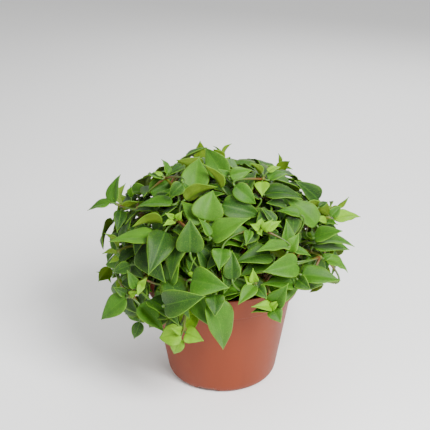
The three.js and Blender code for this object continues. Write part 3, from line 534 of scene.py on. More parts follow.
def joinBlade(blade, longest, slack=0.0):
    joints = [bestJoint(stem, blade, longest) for stem in stems]
    joints = sorted((joint for joint in joints if joint), key=lambda joint: joint[0])
    for _, number, spot in joints[:stalkFacts["tries"]]:
        stalk = alongStalk(stalkGuides(spot, blade))
        far = stalk[lengthOf(stalk - spot) > stalkFacts["footZone"]]
        if isClear(far, 0, 2 * slack) and isClear(stalk, number, 2 * slack):
            return stems[number - 1], spot, stalk
    return None


def addLeaf(stem, blade, joint, stalk=(), kind="leaves"):
    take(bladeSpots(blade, bladeFacts["takenFrom"], 1), stem["number"])
    if len(stalk):
        take(stalk, stem["number"])
    blade["root"] = joint - blade["axis"] * stalkFacts["sink"]
    stem[kind].append(blade)


# Adds a blade on its stalk where both find room
def tryBlade(blade, longest, kind="leaves", slack=0.0):
    if not isClear(bladeSpots(blade, bladeFacts["testedFrom"], 1), 0, slack):
        return False
    joined = joinBlade(blade, longest, slack)
    if joined is None:
        return False
    stem, joint, stalk = joined
    addLeaf(stem, blade, joint, stalk, kind)
    return True


# Seen leaves: how much wider they grow than they are seen, the greatest width and turn of the
# face, how far out foot and point stand on the mound, and what is tried when room is lacking
seenFacts = {
    "growth": 1.12, "widest": 22, "steepest": 1.25, "footScale": 0.93, "pointScale": 1,
    "shootScale": 1.04, "leanLimit": 0.5, "leans": (1, 0, -1, 0.5, -0.5),
    "shifts": (0, 2, -2, 4, -4, 6, -6, 8, -8, 11, -11, 14, -14, 17, -17, 20, 24, 28),
    "nudges": (0, -0.7, 0.7, -1.4, 1.4), "longestStalk": 31,
}


# A seen leaf's picture gives its foot and point, and its narrowing the turn of its face
def seenBlade(seen, footDepth, pointDepth):
    footPixel, pointPixel, wide, look = seen
    foot = atDepth(footPixel, footDepth)
    point = atDepth(pointPixel, pointDepth)
    axis, length = axisAndLength(foot, point)
    seenWidth = wide * seenFacts["growth"]
    width = max(seenWidth, min(plantFacts["ratio"] * length, seenFacts["widest"]))
    turn = min(math.acos(seenWidth / width), seenFacts["steepest"])
    toEye = squareTo(eye - foot, axis)
    edgeOn = np.cross(axis, toEye)
    edgeOn = edgeOn * (-1 if edgeOn[2] < 0 else 1)
    face = -1 if look == "olive" else 1
    normal = toEye * (face * math.cos(turn)) + edgeOn * math.sin(turn)
    return makeBlade(foot, point, normal, width, plantFacts["arch"], plantFacts["fold"], look)


# How far a leaf may lean towards or away from the eye: a share of its length in the picture
def leanLimit(seen, depth):
    seenLength = math.hypot(seen[0][0] - seen[1][0], seen[0][1] - seen[1][1]) * depth / focalPixels
    return seenFacts["leanLimit"] * seenLength


def placeSeenLeaf(seen):
    for shift in seenFacts["shifts"]:
        footDepth = moundDepth(seen[0], seenFacts["footScale"]) + shift
        pointDepth = moundDepth(seen[1], seenFacts["pointScale"]) + shift
        limit = leanLimit(seen, footDepth)
        natural = min(max(pointDepth - footDepth, -limit), limit)
        for share in seenFacts["leans"]:
            lean = natural if share == 1 else share * limit
            blade = seenBlade(seen, footDepth, footDepth + lean)
            if tryBlade(blade, seenFacts["longestStalk"]):
                return


# A shoot's leaves stand close round its tip, so their lower parts may touch their own stem
shootFacts = {"tinyLength": 11, "tinyBase": 0.6, "base": 0.45}


def isShootLeafClear(stem, blade, joint):
    isTiny = blade["length"] < shootFacts["tinyLength"]
    base = shootFacts["tinyBase" if isTiny else "base"]
    between = joint + (blade["foot"] - joint) * 0.5
    return (isClear(bladeSpots(blade, base, 1)) and isClear(bladeSpots(blade, 0, base), stem["number"])
            and isClear(between, stem["number"]))


def placeShootLeaf(stem, seen):
    tipDepth = (stem["tip"] - eye).dot(sightAhead)
    limit = leanLimit(seen, tipDepth)
    lean = min(max(moundDepth(seen[1], seenFacts["shootScale"]) - tipDepth, -limit), limit)
    for nudge in seenFacts["nudges"]:
        blade = seenBlade(seen, tipDepth, tipDepth + lean + nudge * limit)
        spots = stem["line"][:-1]
        joint = spots[np.argmin(lengthOf(spots - blade["foot"]))]
        if isShootLeafClear(stem, blade, joint):
            addLeaf(stem, blade, joint)
            return


# Young leaves round the tip of a hidden shoot, in two crossed pairs: how far back from the tip
# each pair stands, how wide it opens and how long its leaves are
whorlFacts = {"pairs": ((5, 1.25, (15, 20)), (0.5, 0.75, (9, 13))), "stalk": 1.8, "runPoints": 4,
              "fromScale": 0.9}


def growWhorl(stem):
    tip = stem["tip"]
    run = unit(tip - stem["line"][-whorlFacts["runPoints"]])
    across = squareTo(np.array([draw(-1, 1), draw(-1, 1), draw(-1, 1)]), run)
    spreads = (across, np.cross(run, across))
    lengths = [draw(*lengths) for _, _, lengths in whorlFacts["pairs"]]
    for (back, opening, _), length, spread in zip(whorlFacts["pairs"], lengths, spreads):
        for facing in (1, -1):
            outward = spread * facing
            axis = run * math.cos(opening) + outward * math.sin(opening)
            root = tip - run * back
            foot = root + axis * whorlFacts["stalk"]
            normal = run * math.sin(opening) - outward * math.cos(opening)
            blade = makeBlade(foot, foot + axis * length, normal, plantFacts["ratio"] * length,
                              plantFacts["arch"], plantFacts["fold"], "lime")
            if isShootLeafClear(stem, blade, root):
                addLeaf(stem, blade, root)


# The rest of the foliage: its sites, how many leaves there may be once the front is filled and in
# all, how low it hangs, the ranges that its leaves are drawn from, and what is tried at each site
fillerFacts = {
    "sites": 1201, "stride": 457, "front": 160, "leaves": 160, "longestStalk": 31, "slack": 0.0,
    "lowest": -0.55, "frontLimit": 0.3,
    "bareTurn": -1.1, "bareSpread": 1.1, "bareRise": 0.02, "bareEdge": 1.6,
    "turn": (-1.3, 1.3), "lean": (0.02, 0.45), "length": (27, 39), "ratio": (0.56, 0.66),
    "roll": (-0.4, 0.4), "arch": (0.06, 0.15), "fold": (0.3, 0.68), "darkShare": 0.4,
    "drift": 0.2, "skyward": 0.7,
    "sizes": (1, 0.86, 0.72), "turns": (0, 40, -40, 85, -85, 140),
    "scales": (0.95, 0.9, 0.98, 0.85, 0.8, 0.74, 0.68, 0.61),
    "frontScales": (0.86, 0.8, 0.74, 0.68, 0.61, 0.54, 0.47),
}


# Filler leaves lie on the mound like shingles, each at a site of a golden-angle spiral
def fillerBlade(direction, facts, size, scale, turn):
    outward = unit(direction / moundRadii)
    drift = direction * fillerFacts["drift"]
    downhill = squareTo(np.array([drift[0], drift[1], -1]), outward)
    heading = facts["turn"] + math.radians(turn)
    axis = (turned(downhill, outward, heading) * math.cos(facts["lean"])
            + outward * math.sin(facts["lean"]))
    length = facts["length"] * size
    middle = moundPoint(direction, scale)
    normal = turned(squareTo(outward + [0, 0, fillerFacts["skyward"]], axis), axis, facts["roll"])
    return makeBlade(middle - axis * (0.5 * length), middle + axis * (0.5 * length), normal,
                     facts["ratio"] * length, facts["arch"], facts["fold"], facts["look"])


# How low the foliage hangs round the pot: it leaves the wall bare at the front right
def lowestRise(direction):
    facts = fillerFacts
    turn = math.atan2(direction[1], direction[0])
    bare = max(0, 1 - abs(turn - facts["bareTurn"]) / facts["bareSpread"])
    return (facts["lowest"]
            + (facts["bareRise"] - facts["lowest"]) * min(1, facts["bareEdge"] * bare))


def drawFiller():
    drawn = {key: draw(*fillerFacts[key])
             for key in ("turn", "lean", "length", "ratio", "roll", "arch", "fold")}
    return {**drawn, "look": "dark" if draw(0, 1) < fillerFacts["darkShare"] else "mid"}


# Foot, point and the two margins of a blade near its widest
def bladeEnds(blade):
    margins = bladePoints(blade, np.array([bladeFacts["widestShare"]]), np.array([-1, 1]))[0]
    return [blade["foot"], blade["point"], *margins]


def placeFiller(direction, facts, scales, kind):
    if direction[2] < lowestRise(direction):
        return False
    drawn = drawFiller()
    for size in facts["sizes"]:
        for scale in scales:
            for turn in facts["turns"]:
                blade = fillerBlade(direction, drawn, size, scale, turn)
                if (isWithinReach(bladeEnds(blade))
                        and tryBlade(blade, facts["longestStalk"], kind, facts["slack"])):
                    return True
    return False


# Sites of a golden-angle spiral from the mound's top down, taken with a stride so that they spread
def spiralSites(facts):
    directions = []
    for turn in range(facts["sites"]):
        site = turn * facts["stride"] % facts["sites"]
        height = 1 - (1 - facts["lowest"]) * (site + 0.5) / facts["sites"]
        ring = math.sqrt(1 - height * height)
        directions.append(around(site * math.pi * (3 - math.sqrt(5)), ring, height))
    return directions


def isFront(direction):
    return direction.dot(sightAhead) < -fillerFacts["frontLimit"]


# The front of the mound is filled first, and there the leaves stay behind the seen ones
def fillMound(facts, kind):
    count = 0
    for front in (True, False):
        scales = facts["frontScales" if front else "scales"]
        for direction in [site for site in spiralSites(facts) if isFront(site) == front]:
            if count < facts["front" if front else "leaves"]:
                count += placeFiller(direction, facts, scales, kind)
    return count


def growPlant():
    shootStems = [growStem(atDepth(tip, moundDepth(tip, scale)), hangs)
                  for tip, scale, hangs, _ in seenShoots]
    whorlStems = []
    for turn, rise, scale in hiddenShoots:
        turn, rise = math.radians(turn), math.radians(rise)
        direction = around(turn, math.cos(rise), math.sin(rise))
        whorlStems.append(growStem(moundPoint(direction, scale), False))
    for stem, shoot in zip(shootStems, seenShoots):
        for seen in shoot[3] if stem else []:
            placeShootLeaf(stem, seen)
    for stem, (_, _, scale) in zip(whorlStems, hiddenShoots):
        if stem and scale > whorlFacts["fromScale"]:
            growWhorl(stem)
    for seen in seenLeaves:
        placeSeenLeaf(seen)
    fillMound(fillerFacts, "leaves")
    print("stems:", len(stems), "leaves of the solids:", sum(len(stem["leaves"]) for stem in stems))


growPlant()

# Inner leaves: the same rule carried on deeper in the mound, with smaller leaves, all given the dark
# look as painted shade
innerScales = (0.88, 0.8, 0.7, 0.6, 0.5)
innerFacts = {
    "sites": 1100, "stride": 419, "front": 150, "leaves": 300, "longestStalk": 36, "slack": 0.16,
    "lowest": -0.5, "sizes": (0.86, 0.62, 0.48), "turns": (0, 70, -70), "grid": (8, 5),
    "scales": innerScales, "frontScales": innerScales,
}
print("inner leaves:", fillMound(innerFacts, "inner"))


# A mesh piece from arrays in millimetres: points, quads and triangles, with a value for each point
# under each name, and texture coordinates
def meshPiece(name, points, quads, triangles, material, values=(), uv=None):
    loops = np.concatenate([quads.ravel(), triangles.ravel()]).astype(np.int32)
    starts = np.concatenate([np.arange(len(quads)) * 4, len(quads) * 4 + np.arange(len(triangles)) * 3])
    mesh = bpy.data.meshes.new(name)
    mesh.vertices.add(len(points))
    mesh.vertices.foreach_set("co", (points * mm).astype(np.float32).ravel())
    mesh.loops.add(len(loops))
    mesh.loops.foreach_set("vertex_index", loops)
    mesh.polygons.add(len(starts))
    mesh.polygons.foreach_set("loop_start", starts.astype(np.int32))
    mesh.update(calc_edges=True)
    mesh.polygons.foreach_set("use_smooth", np.ones(len(starts), bool))
    if uv is not None:
        layer = mesh.uv_layers.new(name="surface")
        layer.data.foreach_set("uv", uv[loops].astype(np.float32).ravel())
    for key, value in dict(values).items():
        made = mesh.attributes.new(key, "FLOAT", "POINT")
        made.data.foreach_set("value", value.astype(np.float32).ravel())
    mesh.validate()
    piece = bpy.data.objects.new(name, mesh)
    bpy.context.scene.collection.objects.link(piece)
    mesh.materials.append(material)
    return piece


noFaces = np.zeros((0, 3), int)


# Faces of many rows of closed rings with a pole at each end: quads between the rings and fans of
# triangles at the poles. Each shape's points are its rings, then its first and its last pole
def ringFaces(shapes, rings, sides):
    corner = np.arange(sides)
    following = (corner + 1) % sides
    row = np.arange(rings - 1)[:, None] * sides
    quads = np.stack([row + corner, row + following, row + sides + following, row + sides + corner], -1)
    low = np.stack([np.full(sides, rings * sides), following, corner], -1)
    last = (rings - 1) * sides
    high = np.stack([last + corner, last + following, np.full(sides, rings * sides + 1)], -1)
    step = (np.arange(shapes) * (rings * sides + 2))[:, None, None]
    fans = np.concatenate([low, high])
    return ((quads.reshape(-1, 4)[None] + step).reshape(-1, 4),
            (fans[None] + step).reshape(-1, 3))


# Values by shape, ring and side as one row, each shape's followed by those of its two poles
def ringValues(values, shape):
    full = np.broadcast_to(values, shape).reshape(shape[0], -1)
    return np.concatenate([full, full[:, :1], full[:, -1:]], 1).ravel()


def evenTurns(count):
    return np.arange(count) * 2 * np.pi / count


# Fine shape of the blades, lengths in millimetres: how rows and columns are spaced, how thick the
# blade is, its groove and keel, and the ranges of its ripple, cup, curl, twist, taper, tone and
# painted highlight. Each look has a tone, from 0 young to 1 old, and a share of the painted
# highlight colour. The dark look's old tone also paints shade, and the pale look's share paints a
# highlight on leaves lit from above
leafShape = {
    "seed": 17, "grid": (19, 11), "rowSpacing": (0.55, 0.45), "columnSweep": 0.88,
    "thick": 1.1, "widthThick": 0.5, "tipThick": 0.25, "smallThick": (0.6, 0.4), "fullLength": 25,
    "marginPower": 0.8, "tipThin": 0.35, "groove": 0.3, "grooveReach": 0.8,
    "keel": 0.45, "keelReach": 0.7, "ribWidth": 4, "keelSoftness": 0.005,
    "ripple": 0.085, "ripples": (0.3, 1.6), "waves": (1.2, 2.6), "cup": 0.09, "curl": 0.045,
    "twist": 0.2, "taper": (0.0, 0.28), "widestShare": 0.3, "deeperFold": (1.0, 1.35),
    "toneSpread": 0.06, "paleSpread": 0.2,
}
lookTones = {"lime": (0.08, 0.0), "olive": (0.45, 0.0), "mid": (0.62, 0.15), "dark": (0.92, 0.0),
             "pale": (0.66, 0.75)}


# One value for each leaf, shaped to meet rows and columns
def perLeaf(values):
    return np.asarray(values, float)[:, None, None]


# Small leaves are slighter: least and growth add up to 1 at the full length
def slightness(lengths, least, growth):
    full = leafShape["fullLength"]
    return least + growth * np.minimum(lengths, full) / full


# Leaf blades, all at once. Across the midrib each section runs over the top from margin to margin
# and back underneath: middle sheet plus or minus half the thickness, which falls to nothing at the
# margins by a power of the root of 1 - across squared. The middle sheet folds up from the midrib,
# droops, cups and twists, its margins ripple as a sine of the length, and it curls by a parabola
# of the length. A groove follows the midrib above, a keel below. Past its widest, each blade is
# drawn in by a power of what is left of its length
def leafBlades(name, leaves, grid, random, material):
    facts = leafShape
    count = len(leaves)
    rows, columns = grid
    even = (np.arange(rows) + 1) / (rows + 1)
    bunched, spaced = facts["rowSpacing"]
    share = bunched * (0.5 - 0.5 * np.cos(np.pi * even)) + spaced * even
    sweep = facts["columnSweep"]
    over = np.sin(np.linspace(-0.5, 0.5, columns) * np.pi * sweep) / math.sin(sweep / 2 * math.pi)
    across = np.concatenate([over, over[-2:0:-1]])[None, None, :]
    inside = np.ones(columns - 2)
    face = np.concatenate([[0], inside, [0], -inside])[None, None, :]

    foot, point, crown, side, width, length, fold = (
        perLeaf([leaf[key] for leaf in leaves])
        for key in ("foot", "point", "crown", "side", "width", "length", "fold"))
    ripple = perLeaf(facts["ripple"] * random.uniform(*facts["ripples"], count))
    waves = perLeaf(random.uniform(*facts["waves"], count))
    phase = random.uniform(0, 2 * np.pi, (count, 2))
    cup = perLeaf(random.uniform(-1, 1, count) * facts["cup"])
    curl = perLeaf(random.uniform(-1, 1, count) * facts["curl"]) * length
    twist = perLeaf(random.uniform(-1, 1, count) * facts["twist"])
    taper = perLeaf(random.uniform(*facts["taper"], count))
    fold = fold * perLeaf(random.uniform(*facts["deeperFold"], count))
    # Each leaf's tone, and its share of the painted highlight colour: much for the pale look, a little
    # at random for every leaf
    tones = np.array([lookTones[leaf["look"]] for leaf in leaves])
    tone = tones[:, 0] + random.normal(0, facts["toneSpread"], count)
    pale = tones[:, 1] + random.uniform(0, facts["paleSpread"], count)

    s = share[None, :, None]
    rib, top = midrib(foot, crown, point, side, s[..., None])
    drawnIn = np.minimum((1 - s) / (1 - facts["widestShare"]), 1) ** taper
    half = np.maximum(halfWidth(width, s) * drawnIn, facts["tipThin"])
    soft = np.sqrt(across ** 2 + facts["keelSoftness"]) - math.sqrt(facts["keelSoftness"])
    phases = np.where(across < 0, phase[:, :1, None], phase[:, 1:, None])
    wave = ripple * across ** 2 * np.sin(2 * np.pi * waves * s + phases)
    height = half * (fold * soft - plantFacts["droop"] * across ** 2
                     + wave + cup * across ** 2 + twist * across * s)
    height += curl * 4 * (s - s * s)
    thick = (np.minimum(facts["thick"], facts["widthThick"] * half + facts["tipThick"])
             * slightness(length, *facts["smallThick"]))
    lens = 0.5 * thick * np.sqrt(np.maximum(1 - across ** 2, 0)) ** facts["marginPower"]
    apart = np.abs(across) * half
    wide = np.minimum(1, half / facts["ribWidth"])
    groove = facts["groove"] * np.exp(-(apart / facts["grooveReach"]) ** 2) * wide
    keel = facts["keel"] * np.exp(-(apart / facts["keelReach"]) ** 2) * wide
    lift = height + face * lens - np.where(face > 0, groove, 0) - np.where(face < 0, keel, 0)
    points = rib + side * (half * across)[..., None] + top * lift[..., None]
    points = np.concatenate([points.reshape(count, -1, 3), foot[:, 0], point[:, 0]], 1)

    shape = (count, rows, across.shape[-1])
    uv = np.stack([ringValues(0.5 + 0.5 * across, shape), ringValues(s, shape)], -1)
    values = {
        "halfWidth": half, "tone": perLeaf(np.clip(tone, 0, 1)),
        "pale": perLeaf(np.clip(pale, 0, 1)), "underside": 0.5 - 0.5 * face,
    }
    values = {key: ringValues(value, shape) for key, value in values.items()}
    return meshPiece(name, points.reshape(-1, 3), *ringFaces(*shape), material, values, uv)


# Rings and sides of stems and stalks, the stem's swelling at each joint and its wobble, and the
# stalk's waist and size. A least run keeps a path's still point from having no direction
tubeShape = {
    "stemRings": 64, "stemSides": 12, "stalkRings": 10, "stalkSides": 8, "cap": 0.4, "leastRun": 1e-9,
    "between": 0.86, "swell": 0.5, "swellReach": 1.5, "wobble": 0.06, "wobbles": 70,
    "waist": 0.8, "flare": 0.25, "smallStalk": (0.7, 0.3),
}


# Round tubes, all at once: a ring of a given radius stands square to each path's run, its corners
# set round by cosine and sine
def tubes(paths, radii, reference, sides, young):
    run = unit(np.gradient(paths, axis=1) + tubeShape["leastRun"])
    across = unit(reference - run * (reference * run).sum(-1, keepdims=True))
    square = np.cross(run, across)
    angle = evenTurns(sides)
    ring = across[:, :, None] * np.cos(angle)[:, None] + square[:, :, None] * np.sin(angle)[:, None]
    points = paths[:, :, None] + ring * radii[:, :, None, None]
    cap = run * radii[:, :, None] * tubeShape["cap"]
    points = np.concatenate([points.reshape(len(paths), -1, 3), paths[:, :1] - cap[:, :1],
                             paths[:, -1:] + cap[:, -1:]], 1)
    shape = (*radii.shape, sides)
    return points.reshape(-1, 3), *ringFaces(*shape), ringValues(young[:, :, None], shape)


# The stem swells at each joint by a bell curve of the distance to it; "young" runs from 0 at the
# soil to 1 at the tip
def stemTube(stem, leaves):
    facts = tubeShape
    share = np.linspace(0, 1, facts["stemRings"])
    path = bezier(stem["guides"], share)
    under = path[:1] - [[0, 0, plantFacts["stemHoleDepth"] - 1]]
    path = np.concatenate([under, path])
    share = np.concatenate([[0], share])
    radius = plantFacts["stemRadius"] + (plantFacts["stemTipRadius"] - plantFacts["stemRadius"]) * share
    roots = np.array([leaf["root"] for leaf in leaves])
    away = lengthOf(path[:, None] - roots).min(1)
    radius = radius * (facts["between"] + facts["swell"] * np.exp(-(away / facts["swellReach"]) ** 2)
                       + facts["wobble"] * np.sin(share * facts["wobbles"] + stem["number"]))
    return tubes(path[None], radius[None], np.array([[[1.0, 0, 0]]]), facts["stemSides"], share[None])


# Stalks narrow towards their middle by a parabola; "young" runs from 1 at the stem to 2 at the leaf
def stalkTubes(leaves):
    facts = tubeShape
    share = np.linspace(0, 1, facts["stalkRings"])
    guides = np.array([stalkGuides(leaf["root"], leaf) for leaf in leaves])
    paths = bezier(np.moveaxis(guides, 1, 0)[:, :, None], share[None])
    side = np.array([leaf["side"] for leaf in leaves])[:, None]
    radius = plantFacts["stalkRadius"] * (facts["waist"] + facts["flare"] * (2 * share - 1) ** 2)
    sizes = slightness([leaf["length"] for leaf in leaves], *facts["smallStalk"])
    young = np.broadcast_to(1 + share, paths.shape[:2])
    return tubes(paths, radius[None] * sizes[:, None], side, facts["stalkSides"], young)


# Tubes as one piece: each part's faces count on from the points before it
def stemPiece(name, parts, material):
    points, quads, fans, young = zip(*parts)
    starts = np.cumsum([0, *(len(part) for part in points)])
    quads, fans = (np.concatenate([part + start for part, start in zip(faces, starts)])
                   for faces in (quads, fans))
    return meshPiece(name, np.concatenate(points), quads, fans, material,
                     {"young": np.concatenate(young)})


# Rings round the axis, each with its radius, at heights given for each ring or each point
def ringsAt(radii, heights, angle):
    across, ahead = radii[:, None] * np.cos(angle), radii[:, None] * np.sin(angle)
    return np.stack([across, ahead, np.broadcast_to(heights, across.shape)], -1)


# Most of an edge that one corner's rounding may take
longestCut = 0.49


# A profile of (radius, height, rounding) corners as a dense line: each corner is cut back along its
# two edges by its rounding and bridged by a parabola drawn towards it
def roundedProfile(corners, steps):
    line = []
    for index, (radius, height, rounding) in enumerate(corners):
        here = np.array([radius, height])
        if rounding == 0:
            line.append(here[None])
            continue
        before = np.array(corners[index - 1][:2]) - here
        after = np.array(corners[index + 1][:2]) - here
        start = here + before * min(rounding / np.hypot(*before), longestCut)
        end = here + after * min(rounding / np.hypot(*after), longestCut)
        share = np.linspace(0, 1, steps + 1)[:, None]
        line.append(start * (1 - share) ** 2 + here * 2 * share * (1 - share) + end * share ** 2)
    return np.concatenate(line)


# Fine shape of the pot: steps and roundings of its profile, where its wall bends, the corners of
# a drain notch's two bevels, and the drills of the drain holes
potShape = {
    "turns": 180, "steps": 5, "edge": 0.45, "bevel": 1, "floorInset": 2, "floorEdge": 1.5,
    "floorRise": 5, "lipEdge": 0.4, "wallBend": 40, "bendEdge": 3, "collarEdge": 0.7,
    "rimThickness": 1.6, "rimEdge": 0.5, "notchRadius": 38, "notchSteps": (-0.2, 0, 0.5, 1, 1.2),
    "decimals": 5, "drillSides": 24, "drillDepth": 8,
}


# Height of the collar's foot, and how much the wall widens with its height
def wallSlope(facts):
    collarFoot = facts["height"] - facts["collarHeight"]
    return collarFoot, (facts["wallTopRadius"] - facts["baseRadius"]) / collarFoot


# Inside of the pot, from the floor's edge up to the collar
def insideCorners(facts, shape):
    collarFoot, slope = wallSlope(facts)
    floor = facts["footRecess"] + facts["floor"]
    corner = facts["baseRadius"] + slope * floor - facts["wall"]
    rise, lip = shape["floorRise"], collarFoot + facts["wall"]
    return [
        (corner - facts["heelRadius"] + shape["floorInset"], floor, shape["floorEdge"]),
        (corner + slope * rise, floor + rise, shape["floorEdge"]),
        (facts["wallTopRadius"] - facts["wall"], lip, shape["lipEdge"]),
        (facts["collarFootRadius"] - facts["wall"], lip, shape["lipEdge"]),
    ]


def potProfile(facts, shape):
    collarFoot, slope = wallSlope(facts)
    edge, bevel, recess = shape["edge"], shape["bevel"], facts["footRecess"]
    pad, ring, rim = facts["padRadius"], facts["footRingInner"], facts["rimRadius"]
    bend = collarFoot - shape["wallBend"]
    floor = recess + facts["floor"]
    corners = [
        (0, 0, 0), (pad, 0, edge), (pad + bevel, recess, edge), (ring, recess, edge),
        (ring + bevel, 0, edge), (facts["baseRadius"], 0, facts["heelRadius"]),
        (facts["baseRadius"] + slope * bend, bend, shape["bendEdge"]),
        (facts["wallTopRadius"], collarFoot, edge),
        (facts["collarFootRadius"], collarFoot, shape["collarEdge"]),
        (rim, facts["height"], shape["collarEdge"]),
        (rim - shape["rimThickness"], facts["height"], shape["rimEdge"]),
        *insideCorners(facts, shape)[::-1], (0, floor, 0),
    ]
    return roundedProfile(corners, shape["steps"])[1:-1], floor


# The pot is its profile turned round the axis. In a drain notch the foot ring is lifted to the
# recess: the lift falls from the recess to nothing across the bevel at the notch's two sides
def makePot(facts, shape, material):
    profile, floor = potProfile(facts, shape)
    radius, height = profile[:, :1], profile[:, 1:]
    notches = math.radians(facts["notchTurn"]) + evenTurns(facts["notches"])
    halfNotch = facts["notchWidth"] / 2
    bevels = halfNotch - facts["notchBevel"] * np.array(shape["notchSteps"])
    edges = np.arcsin(bevels / shape["notchRadius"])
    fine = (notches[:, None] + np.concatenate([edges, -edges])).ravel() % (2 * np.pi)
    angle = np.concatenate([evenTurns(shape["turns"]), fine])
    angle = np.unique(np.round(angle, shape["decimals"]))
    turn = (angle[:, None] - notches + np.pi) % (2 * np.pi) - np.pi
    aside = radius * np.sin(np.minimum(np.abs(turn).min(1), 1))
    lift = facts["footRecess"] * np.clip((halfNotch - aside) / facts["notchBevel"], 0, 1)
    isFootRing = radius > facts["footRingInner"] - shape["bevel"]
    heights = np.where(isFootRing, np.maximum(height, lift), height)
    points = ringsAt(profile[:, 0], heights, angle).reshape(-1, 3)
    points = np.concatenate([points, [[0, 0, 0], [0, 0, floor]]])
    pot = meshPiece("nursery_pot", points, *ringFaces(1, len(profile), len(angle)), material)
    drillHoles(pot, facts, shape, floor)
    return pot


# Drain holes: cylinders on a circle, cut through the raised floor
def drillHoles(pot, facts, shape, floor):
    drills = []
    for hole in range(facts["holes"]):
        turn = (hole + 0.5) * 2 * math.pi / facts["holes"]
        place = around(turn, facts["holeCircle"], floor)
        bpy.ops.mesh.primitive_cylinder_add(
            vertices=shape["drillSides"], radius=facts["holeRadius"] * mm,
            depth=shape["drillDepth"] * mm, location=[value * mm for value in place])
        drills.append(bpy.context.object)
    for drill in drills:
        cut = pot.modifiers.new("drainHole", "BOOLEAN")
        cut.operation, cut.solver, cut.object = "DIFFERENCE", "EXACT", drill
    bpy.context.view_layer.update()
    cutMesh = bpy.data.meshes.new_from_object(pot.evaluated_get(bpy.context.evaluated_depsgraph_get()))
    pot.modifiers.clear()
    pot.data = cutMesh
    for drill in drills:
        bpy.data.objects.remove(drill)


# Fine shape of the soil: its rings, how much the collar widens up to it, how far it has sunk, and
# the waves of its lumps
soilShape = {
    "seed": 61, "turns": 96, "steps": 4, "wallEnd": (60, 75, 0), "rings": 64, "widening": 0.4,
    "smallest": 1.2, "sink": 0.8, "lump": 0.9, "lumps": 26, "waves": (0.25, 1.6), "phase": 6.3,
    "calmEdge": 5,
}


# Soil: a crowned disc whose height is the crown plus lumps, a sum of sine waves of random heading;
# its side follows the inside of the pot and its base is flat
def makeSoil(facts, shape, random, material):
    gap = facts["gap"]
    corners = [(0, 0, 0), *insideCorners(potFacts, potShape), shape["wallEnd"]]
    wall = roundedProfile(corners, shape["steps"])[1:-1]
    widest = potFacts["collarFootRadius"] - potFacts["wall"] - gap + shape["widening"]
    rings = np.linspace(widest, shape["smallest"], shape["rings"])
    crown = facts["crown"] * (1 - (rings / rings[0]) ** 2)
    angle = evenTurns(shape["turns"])
    across, ahead = rings[:, None] * np.cos(angle), rings[:, None] * np.sin(angle)
    lumps = np.zeros(across.shape)
    for _ in range(shape["lumps"]):
        heading, waves = random.uniform(0, 2 * np.pi), random.uniform(*shape["waves"])
        along = across * math.cos(heading) + ahead * math.sin(heading)
        lumps += np.sin(along * waves + random.uniform(0, shape["phase"])) / waves
    calm = np.minimum(1, (rings[0] - rings) / shape["calmEdge"])[:, None]
    lumps *= shape["lump"] / np.abs(lumps).max() * calm
    level = facts["height"] - shape["sink"]
    rows = np.concatenate([ringsAt(wall[:, 0] - gap, wall[:, 1:] + gap, angle),
                           ringsAt(rings, (level + crown)[:, None] + lumps, angle)])
    floor = potFacts["footRecess"] + potFacts["floor"] + gap
    top = facts["height"] + facts["crown"] - shape["sink"]
    points = np.concatenate([rows.reshape(-1, 3), [[0, 0, floor], [0, 0, top]]])
    return meshPiece("potting_soil", points, *ringFaces(1, len(rows), len(angle)), material)


# The crumbs' ball: the twelve corners and twenty faces of an icosahedron, by the golden ratio
gold = (1 + math.sqrt(5)) / 2
ballCorners = np.array([[-1, gold, 0], [1, gold, 0], [-1, -gold, 0], [1, -gold, 0],
                        [0, -1, gold], [0, 1, gold], [0, -1, -gold], [0, 1, -gold],
                        [gold, 0, -1], [gold, 0, 1], [-gold, 0, -1], [-gold, 0, 1]])
ballFaces = np.array([[0, 11, 5], [0, 5, 1], [0, 1, 7], [0, 7, 10], [0, 10, 11], [1, 5, 9], [5, 11, 4],
                      [11, 10, 2], [10, 7, 6], [7, 1, 8], [3, 9, 4], [3, 4, 2], [3, 2, 6], [3, 6, 8],
                      [3, 8, 9], [4, 9, 5], [2, 4, 11], [6, 2, 10], [8, 6, 7], [9, 8, 1]])
crumbShape = {
    "count": 800, "reach": 54.5, "crownReach": 56, "sink": 0.7, "ballRadius": 1.9,
    "sizes": (0.35, 1.25), "stretch": (0.6, 1.2), "dent": 0.12,
}


# Crumbs on the soil: a ball for each, stretched, dented and strewn at random
def makeCrumbs(facts, shape, random, material):
    count, dent, corners = shape["count"], shape["dent"], len(ballCorners)
    radius = np.sqrt(random.uniform(0, 1, count)) * shape["reach"]
    angle = random.uniform(0, 2 * np.pi, count)
    size = (random.uniform(*shape["sizes"], (count, 1, 1))
            * random.uniform(*shape["stretch"], (count, 1, 3)))
    crown = facts["crown"] * (1 - (radius / shape["crownReach"]) ** 2)
    height = facts["height"] - shape["sink"] + crown
    middle = np.stack([radius * np.cos(angle), radius * np.sin(angle), height], -1)[:, None]
    points = (middle + ballCorners / shape["ballRadius"] * size
              + random.uniform(-dent, dent, (count, corners, 3)))
    triangles = ballFaces + (np.arange(count) * corners)[:, None, None]
    return meshPiece("soil_crumbs", points.reshape(-1, 3), noFaces, triangles.reshape(-1, 3), material)


# Colour given as screen values from 0 to 255, made linear by a power of 2.2
def paint(red, green, blue):
    return tuple((value / 255) ** 2.2 for value in (red, green, blue)) + (1.0,)


# Gives sockets their values, or links other nodes' sockets to them
def feed(tree, sockets, inputs):
    for key, value in dict(inputs).items():
        if isinstance(value, bpy.types.NodeSocket):
            tree.links.new(value, sockets[key])
        else:
            sockets[key].default_value = value


def addNode(tree, kind, inputs=(), **settings):
    made = tree.nodes.new("ShaderNode" + kind)
    for key, value in settings.items():
        setattr(made, key, value)
    feed(tree, made.inputs, inputs)
    return made


def calc(tree, operation, *values):
    return addNode(tree, "Math", enumerate(values), operation=operation).outputs[0]


def times(tree, first, second):
    return calc(tree, "MULTIPLY", first, second)


def plus(tree, first, second):
    return calc(tree, "ADD", first, second)


def minus(tree, first, second):
    return calc(tree, "SUBTRACT", first, second)


